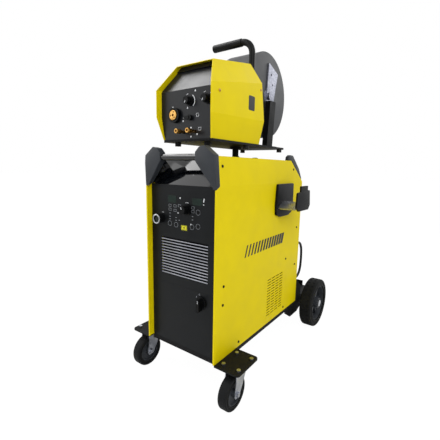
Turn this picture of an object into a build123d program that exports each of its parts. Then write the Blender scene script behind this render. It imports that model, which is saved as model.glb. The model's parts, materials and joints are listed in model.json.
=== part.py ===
from build123d import *
from math import asin, cos, degrees, hypot, pi, radians, sin, sqrt, tan
import os

# MIG welder on a cart, in millimetres. X runs to the right, Y to the rear and Z up from the floor.
# The model is drawn with Y = 0 at the front edges of the side covers. Every piece is then moved
# along Y by -MID_Y, so that the origin lies on the floor under the middle of the whole object.

# ---------------------------------------------------------------- clearances
FIT = 0.06          # radial running clearance of a shaft in its bore
GAP = 0.3           # between pieces that pass or nearly touch
SLIDE = 0.25        # radial clearance of a push button in its hole

# ---------------------------------------------------------------- power source
CASE_W = 327.0      # over the side covers
CASE_L = 698.0
CASE_BOTTOM = 157.0
CASE_TOP = 865.0
CREASE_Z = 769.0    # above this fold the covers lean inwards
LEAN = 8.0          # how far the covers lean in at the top
NECK_Z = 758.0      # the front edge starts to step back here
NECK_Y = 18.0       # front edge of the covers above the fold
CHAMFER_Y = 573.0   # where the roof ends and the rear slope begins
SHEET = 2.0
HEM = 6.0           # width of the folded front edge
PANEL_Y = 26.0      # front face of the front panel
PANEL_T = 4.0
PANEL_TOP = 765.0
SEAM_Z = 392.0      # between the upper and lower front panels
ROOF_Y = 80.0       # front edge of the roof, behind the sloping panel
REAR_INSET = 4.0    # rear panel inside the rear edges of the covers

LOUVRE_W = 224.0
LOUVRE_Z = (429.0, 570.0)
SLATS = 13
SLAT_DEPTH = 15.0
SLAT_T = 1.8
SLAT_TILT = 32.0

VENT_Y = (377.0, 527.0)
VENT_Z = (192.0, 357.0)
VENT_COLUMNS = 4
VENT_ROWS = 14
VENT_BAR = 6.0      # sheet left between two columns
VENT_SLOT = 4.6     # height of a slot

SCREW_R = 2.5
SCREW_HEAD_R = 5.0
SCREW_HEAD_T = 2.4
CASE_SCREWS = ((36, 833), (48, 428), (45.5, 361.5), (155, 176), (659, 549),
               (550, 414), (659, 362.5), (548, 176), (597, 826))

WINDOW_LEFT = ((-76.0, -36.0), (701.0, 727.0))
WINDOW_RIGHT = ((40.0, 84.0), (700.0, 724.0))
WINDOW_T = 1.6
KNOB_X, KNOB_Z, KNOB_R, KNOB_L = 18.0, 682.0, 19.0, 30.0
SHAFT_R = 4.0       # knob and switch shafts
BUTTON_X = 69.0
BUTTON_Z = {"mode_button": 676.0, "store_button": 627.0}
BUTTON_R, BUTTON_TRAVEL = 6.0, 1.5
BUTTON_OUT = BUTTON_TRAVEL + 1      # a pressed button still stands out
SOCKET_X, SOCKET_Z, SOCKET_R, SOCKET_OUT = -108.0, 639.0, 18.0, 30.0
SWITCH_X, SWITCH_Z, SWITCH_R = 86.0, 357.0, 22.0

# ---------------------------------------------------------------- horns and bar
HORN_Y = (-8.0, 18.0)       # front and rear faces of a front horn
HORN_W = 16.0       # its width at the foot
HORN_TIP_X = 80.0   # the horns lean inwards as far as this
HORN_PEAK = (116.0, 897.0)      # (x, z) of the highest corner
BAR_R = 11.0
BAR_Y, BAR_Z = 6.0, 861.0
REAR_HORN_T = 18.0
REAR_HORN_UP = 25.0     # height of the rear horns above the roof
REAR_HORN_RISE = 32.0   # and above the rear slope

# ---------------------------------------------------------------- cart
PAN_T = 2.0
RAIL_W, RAIL_H = 30.0, 17.0
PLATE_OUT = 98.5    # caster plates beyond the covers
PLATE_L = 139.0
PLATE_T = 6.0
CASTER_X = 216.0
CASTER_Y = 70.0     # swivel axis
TRAIL = 34.6        # the wheel stands this far ahead of the swivel axis
CASTER_R, CASTER_W, CASTER_RIM_R = 62.5, 36.0, 44.0
HEAD_T = 2.5        # zinc plate of a caster head
FORK_T = 3.0
FORK_SPACE = 3.0    # between the tyre and a fork leg
CROWN_T = 8.0
CROWN_R = 38.0
KING_R = 6.0
BOLT_R, BOLT_HEAD_T = 5.0, 6.0      # caster axle bolt
REAR_R, REAR_W, REAR_RIM_R = 125.0, 60.0, 92.0
RIM_T, BOSS_R = 6.0, 24.0       # of a rear wheel
SPOKES, SPOKE_W, SPOKE_T = 6, 16.0, 14.0
REAR_Y = 817.0
REAR_OUT_X = 247.6  # outer face of a rear tyre
AXLE_R = 10.0
BRACKET_X, BRACKET_T = 150.0, 6.0
SHELF_END_Y, SHELF_LIP = 934.0, 26.0
LIP_PLATE = 4.0
RACK_TOP = 252.0    # top of the side plates of the cylinder rack
CRADLE_Z = 700.0    # underside of the upper cradle for the cylinder
CRADLE_HALF = 125.0
SCREW_M8_R, NUT_R = 4.0, 6.5    # screws of the caster plates

# ---------------------------------------------------------------- behind the case
FAN_Z, FAN_OPEN_R, FAN_R = 560.0, 100.0, 92.0
FAN_MOTOR_R, FAN_MOTOR_L, FAN_SHAFT_R = 30.0, 34.0, 3.0
FAN_HUB_L, FAN_BLADES, FAN_PITCH = 24.0, 5, 32.0
GUARD_T, GUARD_BAR = 3.0, 3.0
GUARD_RINGS = (45.0, 60.0, 75.0, 89.0)
LEAD_R = 6.0
LEAD_X = 146.0
GLAND_R, GLAND_STEP, GLAND_IN = 10.0, 4.0, 8.0
MAINS_X, MAINS_Z = -110.0, 225.0
MAINS_R, MAINS_BORE_R, MAINS_OUT = 16.0, 7.0, 22.0
LEAD_ROUTE = ((716, 455), (744, 455), (768, 443), (785, 415), (790, 363), (785, 311), (768, 283),
              (744, 271), (716, 271))

# ---------------------------------------------------------------- inside the case
CORE_X, CORE_Y, CORE_H = (-130.0, -10.0), (120.0, 300.0), 160.0
COOLER_X, COOLER_Y, COOLER_H, COOLER_SLOTS = (15.0, 130.0), (100.0, 340.0), 120.0, 8

# ---------------------------------------------------------------- cable hanger
HANGER_Y = (409.0, 578.0)
HANGER_Z = (624.0, 765.0)
HANGER_T = 10.0
HANGER_OUT = 94.5   # outer face of the lip beyond the covers
SADDLE_Z = (664.0, 690.0)
LIP_T = 8.0

# ---------------------------------------------------------------- post
POST_Y = CASE_L / 2
POST_R, PIN_R = 13.0, 10.0
BUSH_R = 24.0
PIN_UP = 40.0       # pin inside the feeder above its base plate

# ---------------------------------------------------------------- wire feeder
BASE_Z = (915.0, 923.0)
BASE_Y = (38.0, 590.0)
BASE_W = 221.0
FOOT_R, FOOT_H = 11.0, 13.0
FOOT_SPOTS = ((68, 72), (98, 272), (98, 562))
FEED_MID, FEED_LOW, FEED_ROOF = 122.5, 108.0, 81.0      # half widths
FEED_FRONT = ((39, 923), (18, 1001), (18, 1091), (80, 1180))    # (y, z) of the front corners
FEED_REAR = ((358, 923), (364, 1013), (337, 1151), (314, 1222))     # (y, z) of the rear corners
FEED_SHEET = 2.0
FEED_PANEL_Y = 42.0
FEED_PANEL_T = 3.0
FEED_BEND_Z = 1088.0
FEED_SCREWS = ((62, 1073), (330, 1125))
DIAL_X = {"feeder_knob_left": 15.0, "feeder_knob_right": 90.0}
DIAL_Z, DIAL_R, DIAL_L = 1047.0, 15.5, 24.0
SELECTOR_X, SELECTOR_Z = 18.0, 993.0
STRIP_Z = (1162.0, 1187.0)      # black strip along the top of the front panel
WIRE_X, WIRE_Z = -52.0, 1005.0
TORCH_R, TORCH_OUT, TORCH_BORE = 25.0, 12.0, 50.0
COUPLER_X = (-11.0, 38.0)
COUPLER_Z, COUPLER_OUT = 947.0, 42.0

ROLL_R, ROLL_W = 18.5, 14.0
ROLL_Y = {"feed_roll_front": 130.0, "feed_roll_rear": 190.0}
DRIVE_PLATE_X = (-44.0, -36.0)
MOTOR_R, MOTOR_L = 31.0, 100.0
ARM_PIVOT = (232.0, 1052.0)
WIRE_R = 0.6

SPOOL_Y, SPOOL_Z = 523.0, 1146.0
DRUM_R, DRUM_WALL = 180.0, 3.0
DRUM_X = (-110.0, 45.0)
DRUM_SEAM = -30.0
SPOOL_R, SPOOL_W, BARREL_R, WIRE_PACK_R = 150.0, 100.0, 95.0, 138.0
SPOOL_X = -75.0     # left face of the spool
HUB_R = 25.5
HINGE_R, KNUCKLE_R = 2.5, 6.0
MAST_X = (50.0, 74.0)
HANDLE_X, HANDLE_Y, HANDLE_Z = 65.0, 352.0, 1322.0
HANDLE_R, GRIP_R = 12.5, 15.0
HANDLE_BEND = 48.0
HANDLE_END_X = -122.0

# ---------------------------------------------------------------- worked out
HALF = CASE_W / 2
INNER = HALF - SHEET                    # inner face of a side cover
PANEL_HALF = INNER - GAP
REAR_PANEL_Y = CASE_L - REAR_INSET      # rear face of the rear panel
REAR_X = REAR_OUT_X - REAR_W / 2
MID_Y = (CASTER_Y - TRAIL - CASTER_R + REAR_Y + REAR_R) / 2
PAN_TOP = CASE_BOTTOM + PAN_T


def block(x, y, z):
    """Box between three pairs of (low, high)."""
    pairs = (x, y, z)
    middle = [(low + high) / 2 for low, high in pairs]
    return Pos(*middle) * Box(*[high - low for low, high in pairs])


def rod_x(radius, x, y, z):
    return Pos((x[0] + x[1]) / 2, y, z) * Rot(0, 90, 0) * Cylinder(radius, x[1] - x[0])


def rod_y(radius, x, y, z):
    return Pos(x, (y[0] + y[1]) / 2, z) * Rot(90, 0, 0) * Cylinder(radius, y[1] - y[0])


def rod_z(radius, x, y, z):
    return Pos(x, y, (z[0] + z[1]) / 2) * Cylinder(radius, z[1] - z[0])


def outline(points, rounding=0):
    shape = Polygon(*points, align=None)
    if rounding:
        shape = fillet(shape.vertices(), rounding)
    return shape


def plate_x(points, x, rounding=0):
    """Plate across X with an outline of (y, z) points."""
    plane = Plane((x[0], 0, 0), x_dir=(0, 1, 0), z_dir=(1, 0, 0))
    return extrude(plane * outline(points, rounding), amount=x[1] - x[0], dir=(1, 0, 0))


def plate_y(points, y, rounding=0):
    """Plate across Y with an outline of (x, z) points."""
    plane = Plane((0, y[0], 0), x_dir=(1, 0, 0), z_dir=(0, -1, 0))
    return extrude(plane * outline(points, rounding), amount=y[1] - y[0], dir=(0, 1, 0))


def plate_z(points, z, rounding=0):
    """Plate across Z with an outline of (x, y) points."""
    return extrude(Plane((0, 0, z[0])) * outline(points, rounding), amount=z[1] - z[0], dir=(0, 0, 1))


def rectangle(a, b):
    """Corners of a rectangle between two pairs of (low, high)."""
    return [(a[0], b[0]), (a[1], b[0]), (a[1], b[1]), (a[0], b[1])]


def inset(points, gaps):
    """Move each side of an anticlockwise outline inwards by its own gap."""
    lines = []
    for index, gap in enumerate(gaps):
        (ax, ay), (bx, by) = points[index], points[(index + 1) % len(points)]
        length = hypot(bx - ax, by - ay)
        nx, ny = -(by - ay) / length, (bx - ax) / length
        lines.append((nx, ny, nx * ax + ny * ay + gap))
    corners = []
    for index, (a, b, c) in enumerate(lines):
        p, q, r = lines[index - 1]
        scale = p * b - q * a
        corners.append(((r * b - q * c) / scale, (p * c - r * a) / scale))
    return corners


def both_sides(shape):
    """A piece and its mirror image on the other side of the object."""
    return [shape, mirror(shape, about=Plane.YZ)]


def on_side(shape, side):
    """A piece drawn on the right, as it is or mirrored to the left."""
    return shape if side > 0 else mirror(shape, about=Plane.YZ)


def write(name, *pieces):
    """Move the pieces to the object's origin and write them as one file."""
    solids = [solid for piece in pieces for solid in piece.solids()]
    export_step(Compound([Pos(0, -MID_Y, 0) * solid for solid in solids]), f"parts/{name}.step")


# ================================================================ power source
SECTION = [(0, CASE_BOTTOM), (HALF, CASE_BOTTOM), (HALF, CREASE_Z), (HALF - LEAN, CASE_TOP), (0, CASE_TOP)]
PROFILE = [(0, CASE_BOTTOM), (CASE_L, CASE_BOTTOM), (CASE_L, CREASE_Z), (CHAMFER_Y, CASE_TOP),
           (NECK_Y, CASE_TOP), (NECK_Y, CREASE_Z), (0, NECK_Z)]


def cover_x(z):
    """Outer face of the right cover at a height."""
    return HALF - LEAN * max(0.0, (z - CREASE_Z) / (CASE_TOP - CREASE_Z))


def case_screw(y, z, radius, x):
    """Rod through the right cover, square to its face."""
    turn = degrees(asin(LEAN / hypot(LEAN, CASE_TOP - CREASE_Z))) if z > CREASE_Z else 0
    return Pos(cover_x(z), y, z) * Rot(0, 90 - turn, 0) * Pos(0, 0, (x[0] + x[1]) / 2) * Cylinder(
        radius, x[1] - x[0])


def vent_slots():
    pitch_y = (VENT_Y[1] - VENT_Y[0] + VENT_BAR) / VENT_COLUMNS
    pitch_z = (VENT_Z[1] - VENT_Z[0] - VENT_SLOT) / (VENT_ROWS - 1)
    slots = []
    for column in range(VENT_COLUMNS):
        start = VENT_Y[0] + column * pitch_y
        for row in range(VENT_ROWS):
            low = VENT_Z[0] + row * pitch_z
            slots.append(block((INNER - 5, HALF + 5), (start, start + pitch_y - VENT_BAR),
                               (low, low + VENT_SLOT)))
    return slots


def case_cover():
    """Right cover: side, leaning upper side, rear slope and half of the roof, as one folded sheet."""
    out = -5
    outer = plate_y(SECTION, (0, CASE_L)) & plate_x(PROFILE, (0, HALF))
    inner = plate_y(inset(SECTION, (out, SHEET, SHEET, SHEET, out)), (out, CASE_L - out))
    inner &= plate_x(inset(PROFILE, (out, out, SHEET, SHEET, out, out, out)), (out, HALF))
    cover = outer - inner
    cover += block((HALF - HEM, INNER + 0.5), (0, SHEET), (CASE_BOTTOM, NECK_Z - 1))
    cover -= block((out, INNER - LEAN - 1), (0, ROOF_Y), (CREASE_Z, CASE_TOP + 1))
    cover -= rod_z(POST_R + GAP, 0, POST_Y, (CREASE_Z, CASE_TOP + 1))
    cover -= [case_screw(y, z, SCREW_R + FIT, (-10, 5)) for y, z in CASE_SCREWS]
    return cover - vent_slots()


def case_screws():
    right = [case_screw(y, z, SCREW_HEAD_R, (0, SCREW_HEAD_T)) + case_screw(y, z, SCREW_R, (-6, 1))
             for y, z in CASE_SCREWS]
    return [piece for screw in right for piece in both_sides(screw)]


def front_panel():
    """Upper front panel with its openings."""
    y = (PANEL_Y, PANEL_Y + PANEL_T)
    panel = block((-PANEL_HALF, PANEL_HALF), y, (SEAM_Z, PANEL_TOP))
    panel -= block((-LOUVRE_W / 2, LOUVRE_W / 2), (0, 99), LOUVRE_Z)
    for x, z in (WINDOW_LEFT, WINDOW_RIGHT):
        panel -= block(x, (0, PANEL_Y + WINDOW_T), z)
    panel -= rod_y(SHAFT_R + FIT, KNOB_X, (0, 99), KNOB_Z)
    panel -= rod_y(SOCKET_R - 6, SOCKET_X, (0, 99), SOCKET_Z)
    for z in BUTTON_Z.values():
        panel -= rod_y(BUTTON_R + SLIDE, BUTTON_X, (0, 99), z)
    return panel


def louvres():
    """Tilted slats between the side walls of their opening, their front edges at the panel's face."""
    pitch = (LOUVRE_Z[1] - LOUVRE_Z[0]) / SLATS
    reach = SLAT_DEPTH * cos(radians(SLAT_TILT)) / 2
    slats = []
    for index in range(SLATS):
        z = LOUVRE_Z[0] + pitch * (index + 0.5)
        slat = Rot(SLAT_TILT, 0, 0) * Box(LOUVRE_W, SLAT_DEPTH, SLAT_T)
        slats.append(Pos(0, PANEL_Y + 1 + reach, z) * slat)
    return slats


def windows():
    return [block(x, (PANEL_Y - 0.4, PANEL_Y + WINDOW_T), z) for x, z in (WINDOW_LEFT, WINDOW_RIGHT)]


def knob(x, z, radius, length, face_y):
    """Skirted knob on its shaft, in front of a panel whose face is at face_y."""
    back = face_y - 2 * GAP
    grip = rod_y(radius, x, (back - 7, back), z) + rod_y(radius * 0.8, x, (back - length, back - 7), z)
    grip = chamfer(grip.edges().sort_by(Axis.Y)[0], 1.5)
    for angle in range(0, 360, 30):
        dx, dz = radius * 0.8 * cos(radians(angle)), radius * 0.8 * sin(radians(angle))
        grip -= rod_y(1.4, x + dx, (back - length + 3, back - 7), z + dz)
    return grip + rod_y(SHAFT_R, x, (back - 1, face_y + 16), z)


def button(z):
    """Round push button through the front panel."""
    cap = rod_y(BUTTON_R, BUTTON_X, (PANEL_Y - BUTTON_OUT, PANEL_Y + PANEL_T + 2), z)
    return chamfer(cap.edges().sort_by(Axis.Y)[0], 0.6)


def remote_socket():
    """Round socket with a metal nut ring and its contact insert."""
    face = PANEL_Y - SOCKET_OUT
    shell = rod_y(SOCKET_R, SOCKET_X, (face, PANEL_Y), SOCKET_Z)
    shell += rod_y(SOCKET_R - 6.5, SOCKET_X, (PANEL_Y - 1, PANEL_Y + 14), SOCKET_Z)
    shell -= rod_y(SOCKET_R - 5, SOCKET_X, (face - 1, face + 22), SOCKET_Z)
    shell = chamfer(shell.edges().sort_by(Axis.Y)[0], 1)
    insert = rod_y(SOCKET_R - 8, SOCKET_X, (face + 6, face + 22), SOCKET_Z)
    return shell, insert


def main_switch():
    """Round switch with its pointed handle."""
    face = PANEL_Y - GAP
    disc = rod_y(SWITCH_R, SWITCH_X, (face - 6, face), SWITCH_Z)
    grip = block((SWITCH_X - 6, SWITCH_X + 6), (face - 24, face - 5), (SWITCH_Z - 30, SWITCH_Z + 16))
    grip = fillet(grip.edges().filter_by(Axis.Y), 5)
    return disc + grip + rod_y(SHAFT_R, SWITCH_X, (face - 2, face + 22), SWITCH_Z)


def lower_panel():
    """Lower front panel, folded back along its foot."""
    sheet = block((-PANEL_HALF, PANEL_HALF), (PANEL_Y, PANEL_Y + SHEET), (PAN_TOP, SEAM_Z - GAP))
    sheet += block((-PANEL_HALF, PANEL_HALF), (PANEL_Y, PANEL_Y + 20), (PAN_TOP, PAN_TOP + SHEET))
    return sheet - rod_y(SHAFT_R + FIT, SWITCH_X, (0, 99), SWITCH_Z)


def gloss_panel():
    """Sloping panel from the top of the front panel back to the roof, between two upright cheeks."""
    low, high = PANEL_TOP + GAP, CASE_TOP - SHEET - GAP
    half = INNER - LEAN - SHEET
    between = half - SHEET
    slope = [(PANEL_Y, low), (PANEL_Y + 4, low), (ROOF_Y, high), (ROOF_Y - 4, high)]
    front, foot = NECK_Y + SHEET + GAP, CREASE_Z + SHEET
    cheek = plate_x([(front, foot), (PANEL_Y + 4, foot), (ROOF_Y, high), (front, high)], (between, half))
    return [plate_x(slope, (-between, between))] + both_sides(cheek)


def front_horn():
    """Right horn: a wing on the front edge of the cover that leans inwards and holds the bar."""
    inner = HALF - HORN_W
    (peak_x, peak_z), tip = HORN_PEAK, HORN_TIP_X
    wing = [(inner, NECK_Z - 8), (HALF, NECK_Z - 8), (HALF, CREASE_Z), (cover_x(CASE_TOP), CASE_TOP + 3),
            (peak_x, peak_z), (peak_x - 20, peak_z - 4), (tip, BAR_Z + 16), (tip, BAR_Z - 12),
            (inner, CREASE_Z - 4)]
    front, rear = HORN_Y
    profile = [(0.5, NECK_Z + 1), (rear, CREASE_Z + GAP), (rear, peak_z + 8), (front, peak_z + 8),
               (front, BAR_Z - 21)]
    horn = plate_y(wing, (front - 1, rear + 1)) & plate_x(profile, (tip - 1, HALF + 1))
    return horn + block((HALF - 26, HALF - 15), (rear - 1, rear + 18), (CREASE_Z + 26, CASE_TOP - 15))


def front_bar():
    """Straight bar between the horns."""
    return rod_x(BAR_R, (-HORN_TIP_X, HORN_TIP_X), BAR_Y, BAR_Z)


def rear_horn():
    """Right rear horn, lying on the rear slope of the cover."""
    run, fall = CASE_L - CHAMFER_Y, CASE_TOP - CREASE_Z
    slope = hypot(run, fall)

    def above(share, rise):
        """Point over the slope, at a share of its length and a height square to it."""
        along = (CHAMFER_Y + share * run, CASE_TOP - share * fall)
        return along[0] + rise * fall / slope, along[1] + rise * run / slope

    top = CASE_TOP + REAR_HORN_UP
    points = [(CHAMFER_Y - 28, CASE_TOP), (CHAMFER_Y, CASE_TOP), (CASE_L, CREASE_Z),
              above(1.04, 6), above(0.97, 18),
              above(0.62, REAR_HORN_RISE), above(0.22, REAR_HORN_RISE),
              (CHAMFER_Y + 20, top - 1), (CHAMFER_Y - 8, top), (CHAMFER_Y - 24, top - 8)]
    inside = HALF - LEAN - REAR_HORN_T
    return plate_x(points, (inside, inside + REAR_HORN_T))


# ================================================================ rear of the case
def rear_panel():
    """Rear panel with the two glands of the short lead and the gland of the mains lead."""
    front, back = REAR_PANEL_Y - SHEET, REAR_PANEL_Y
    through, inside = (front - 5, back + 5), (front - GLAND_IN, back + 1)
    panel = block((-PANEL_HALF, PANEL_HALF), (front, back), (PAN_TOP, CREASE_Z - SHEET - 1))
    panel -= rod_y(FAN_OPEN_R, 0, through, FAN_Z)
    glands = []
    for end, z in (LEAD_ROUTE[0], LEAD_ROUTE[-1]):
        panel -= rod_y(GLAND_R - GLAND_STEP, LEAD_X, through, z)
        gland = rod_y(GLAND_R, LEAD_X, (back, end - 4), z) + rod_y(GLAND_R - 2, LEAD_X, (end - 5, end), z)
        glands.append(gland + rod_y(GLAND_R - GLAND_STEP - FIT, LEAD_X, inside, z))
    panel -= rod_y(MAINS_R - GLAND_STEP, MAINS_X, through, MAINS_Z)
    mains = rod_y(MAINS_R, MAINS_X, (back, back + MAINS_OUT), MAINS_Z)
    mains += rod_y(MAINS_R - GLAND_STEP - FIT, MAINS_X, inside, MAINS_Z)
    mains -= rod_y(MAINS_BORE_R, MAINS_X, (front - 20, back + 30), MAINS_Z)
    return [panel, mains] + glands


def fan_housing():
    """Wire guard on the rear panel, with the motor on its hub."""
    y = (REAR_PANEL_Y, REAR_PANEL_Y + GUARD_T)
    half = GUARD_BAR / 2
    guard = rod_y(FAN_OPEN_R + 8, 0, y, FAN_Z) - rod_y(FAN_OPEN_R - 2, 0, (y[0] - 1, y[1] + 1), FAN_Z)
    for radius in GUARD_RINGS:
        guard += rod_y(radius + half, 0, y, FAN_Z) - rod_y(radius - half, 0, (y[0] - 1, y[1] + 1), FAN_Z)
    guard += rod_y(FAN_MOTOR_R + 2, 0, y, FAN_Z)
    reach = FAN_OPEN_R + 2
    guard += block((-half, half), y, (FAN_Z - reach, FAN_Z + reach))
    guard += block((-reach, reach), y, (FAN_Z - half, FAN_Z + half))
    motor_y = REAR_PANEL_Y - FAN_MOTOR_L
    motor = rod_y(FAN_MOTOR_R, 0, (motor_y, REAR_PANEL_Y), FAN_Z)
    return guard, motor + rod_y(FAN_SHAFT_R, 0, (motor_y - FAN_HUB_L - 4, motor_y + 1), FAN_Z)


def fan_rotor():
    """Hub and blades in front of the motor."""
    face = REAR_PANEL_Y - FAN_MOTOR_L - 2 * GAP
    root = FAN_MOTOR_R
    rotor = rod_y(root + 3, 0, (face - FAN_HUB_L, face), FAN_Z)
    for index in range(FAN_BLADES):
        blade = Pos(0, 0, (root + FAN_R) / 2) * Rot(0, 0, FAN_PITCH) * Box(44, 2.4, FAN_R - root)
        rotor += Pos(0, face - FAN_HUB_L / 2, FAN_Z) * Rot(0, index * 360 / FAN_BLADES, 0) * blade
    return rotor - rod_y(FAN_SHAFT_R + FIT, 0, (face - FAN_HUB_L - 5, face + 5), FAN_Z)


def lead():
    """Short lead between the two glands: straight runs joined by tangent arcs."""
    points = [Vector(LEAD_X, y, z) for y, z in LEAD_ROUTE]
    radii = []
    for before, here, after in zip(points, points[1:], points[2:]):
        turn = (here - before).get_angle(after - here)
        shorter = min((here - before).length, (after - here).length)
        radii.append(0.45 * shorter / tan(radians(turn / 2)))
    print("lead radii", [round(radius, 1) for radius in radii])
    path = FilletPolyline(*points, radius=radii)
    start = Plane(path @ 0, z_dir=path % 0)
    tube = sweep(start * Circle(LEAD_R), path=path)
    ratio = tube.volume / (path.length * pi * LEAD_R ** 2)
    print("lead length", round(path.length, 1), "volume ratio", round(ratio, 4))
    return tube


def power_core():
    """Transformer, finned cooler and control board on the floor of the case."""
    (x0, x1), (y0, y1), z1 = CORE_X, CORE_Y, PAN_TOP + CORE_H
    limb, window = (x1 - x0) * 0.21, CORE_H * 0.22
    transformer = block(CORE_X, CORE_Y, (PAN_TOP, z1))
    transformer -= block((x0 + limb, x1 - limb), (y0 - 9, y1 + 9), (PAN_TOP + window, z1 - window))
    coil_l = (y1 - y0) * 0.44
    coils = []
    for start in (y0 + 5, y1 - 5 - coil_l):
        coil = block((x0 + limb + GAP, x1 - limb - GAP), (start, start + coil_l),
                     (PAN_TOP + window + GAP, z1 - window - GAP))
        coils.append(fillet(coil.edges().filter_by(Axis.Y), 12))
    cooler_top = PAN_TOP + COOLER_H
    cooler = block(COOLER_X, COOLER_Y, (PAN_TOP, cooler_top))
    pitch = (COOLER_X[1] - COOLER_X[0]) / (COOLER_SLOTS + 1)
    slot_y = (COOLER_Y[0] - 9, COOLER_Y[1] + 9)
    for index in range(COOLER_SLOTS):
        x = COOLER_X[0] + pitch * (index + 0.75)
        cooler -= block((x, x + pitch / 2), slot_y, (PAN_TOP + 20, cooler_top + 9))
    board = block((COOLER_X[0] - 5, COOLER_X[1] + 5), slot_y, (cooler_top, cooler_top + 3))
    return [transformer, cooler, board] + coils


# ================================================================ cart
def base_frame():
    """Floor pan on two side rails and two crossbars, and the plates that hold the rear axle."""
    below = CASE_BOTTOM - RAIL_H
    pan = block((-PANEL_HALF, PANEL_HALF), (PANEL_Y, REAR_PANEL_Y - SHEET), (CASE_BOTTOM, PAN_TOP))
    rails = both_sides(block((HALF - RAIL_W, HALF), (PANEL_Y, CASE_L), (below, CASE_BOTTOM)))
    reach = HALF - RAIL_W
    bars = [block((-reach, reach), (y, y + RAIL_W), (below, CASE_BOTTOM))
            for y in (PANEL_Y, CASE_L - RAIL_W)]
    under_shelf = CASE_BOTTOM - 1
    clear = CASE_L + 2
    plate = [(clear - 100, below), (clear - 100, below - 22),
             (clear - 40, REAR_R - 45), (clear + 45, REAR_R - 45),
             (REAR_Y - 17, REAR_R - 24), (REAR_Y + 24, REAR_R - 20), (REAR_Y + 24, REAR_R + 18),
             (REAR_Y, under_shelf - 4), (REAR_Y - 45, under_shelf), (clear, under_shelf), (clear, below)]
    bracket = plate_x(plate, (BRACKET_X, BRACKET_X + BRACKET_T))
    bracket -= rod_x(AXLE_R + FIT, (0, 300), REAR_Y, REAR_R)
    return [pan] + rails + bars + both_sides(bracket)


def cylinder_rack():
    """Shelf between the rear wheels with its two upright side plates, and the upper cradle."""
    front, z = CASE_L + 3, (CASE_BOTTOM - 1, CASE_BOTTOM + 3)
    outer = BRACKET_X + BRACKET_T
    shelf = block((-outer, outer), (front, SHELF_END_Y), z)
    shelf += block((-110, 110), (SHELF_END_Y - LIP_PLATE, SHELF_END_Y), (z[0], z[1] + SHELF_LIP))
    side = plate_x([(front, z[0]), (front + 81, z[0]), (front + 81, RACK_TOP - 37), (front + 37, RACK_TOP),
                    (front, RACK_TOP - 12)], (BRACKET_X, outer), 3)
    shelf += side + mirror(side, about=Plane.YZ)
    cylinder_y = (front + SHELF_END_Y - LIP_PLATE) / 2
    cylinder_r = (SHELF_END_Y - LIP_PLATE - front) / 2
    width = (-CRADLE_HALF, CRADLE_HALF)
    cradle = block(width, (REAR_PANEL_Y, REAR_PANEL_Y + 4), (CRADLE_Z, CRADLE_Z + 40))
    cradle += block(width, (REAR_PANEL_Y, CASE_L + 60), (CRADLE_Z, CRADLE_Z + 4))
    return shelf, cradle - rod_z(cylinder_r, 0, cylinder_y, (CRADLE_Z - 1, CRADLE_Z + 60))


def caster_plate():
    """Right black plate beside the rail that carries a swivel caster."""
    plate = plate_z(rectangle((HALF, HALF + PLATE_OUT), (0, PLATE_L)), (CASE_BOTTOM - PLATE_T, CASE_BOTTOM))
    plate = fillet(plate.edges().filter_by(Axis.Z).sort_by(Axis.X)[-2:], 14)
    plate -= [rod_z(SCREW_M8_R + GAP, x, y, (100, 200)) for x, y in caster_screw_spots()]
    return plate


def caster_screw_spots():
    return [(CASTER_X + dx, CASTER_Y + dy) for dx in (-31, 31) for dy in (-42, 42)]


def caster_mount():
    """Zinc plate with its king bolt under the black plate, and the four screws that hold it."""
    top = CASE_BOTTOM - PLATE_T
    head = plate_z(rectangle((CASTER_X - 41, CASTER_X + 41), (CASTER_Y - 52, CASTER_Y + 52)),
                   (top - HEAD_T, top), 6)
    head -= [rod_z(SCREW_M8_R + GAP, x, y, (100, 200)) for x, y in caster_screw_spots()]
    crown_low = top - HEAD_T - GAP - CROWN_T
    head += rod_z(KING_R, CASTER_X, CASTER_Y, (crown_low - GAP - 1, top - HEAD_T + 1))
    head += rod_z(KING_R + 4, CASTER_X, CASTER_Y, (crown_low - GAP - 6, crown_low - GAP))
    pieces = [head]
    for x, y in caster_screw_spots():
        screw = rod_z(SCREW_M8_R, x, y, (top - HEAD_T - 7, CASE_BOTTOM + 1))
        screw += rod_z(NUT_R + 0.5, x, y, (CASE_BOTTOM, CASE_BOTTOM + 5))
        nut = rod_z(NUT_R, x, y, (top - HEAD_T - 6, top - HEAD_T))
        pieces += [screw, nut - rod_z(SCREW_M8_R + FIT, x, y, (100, 200))]
    return pieces


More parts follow.
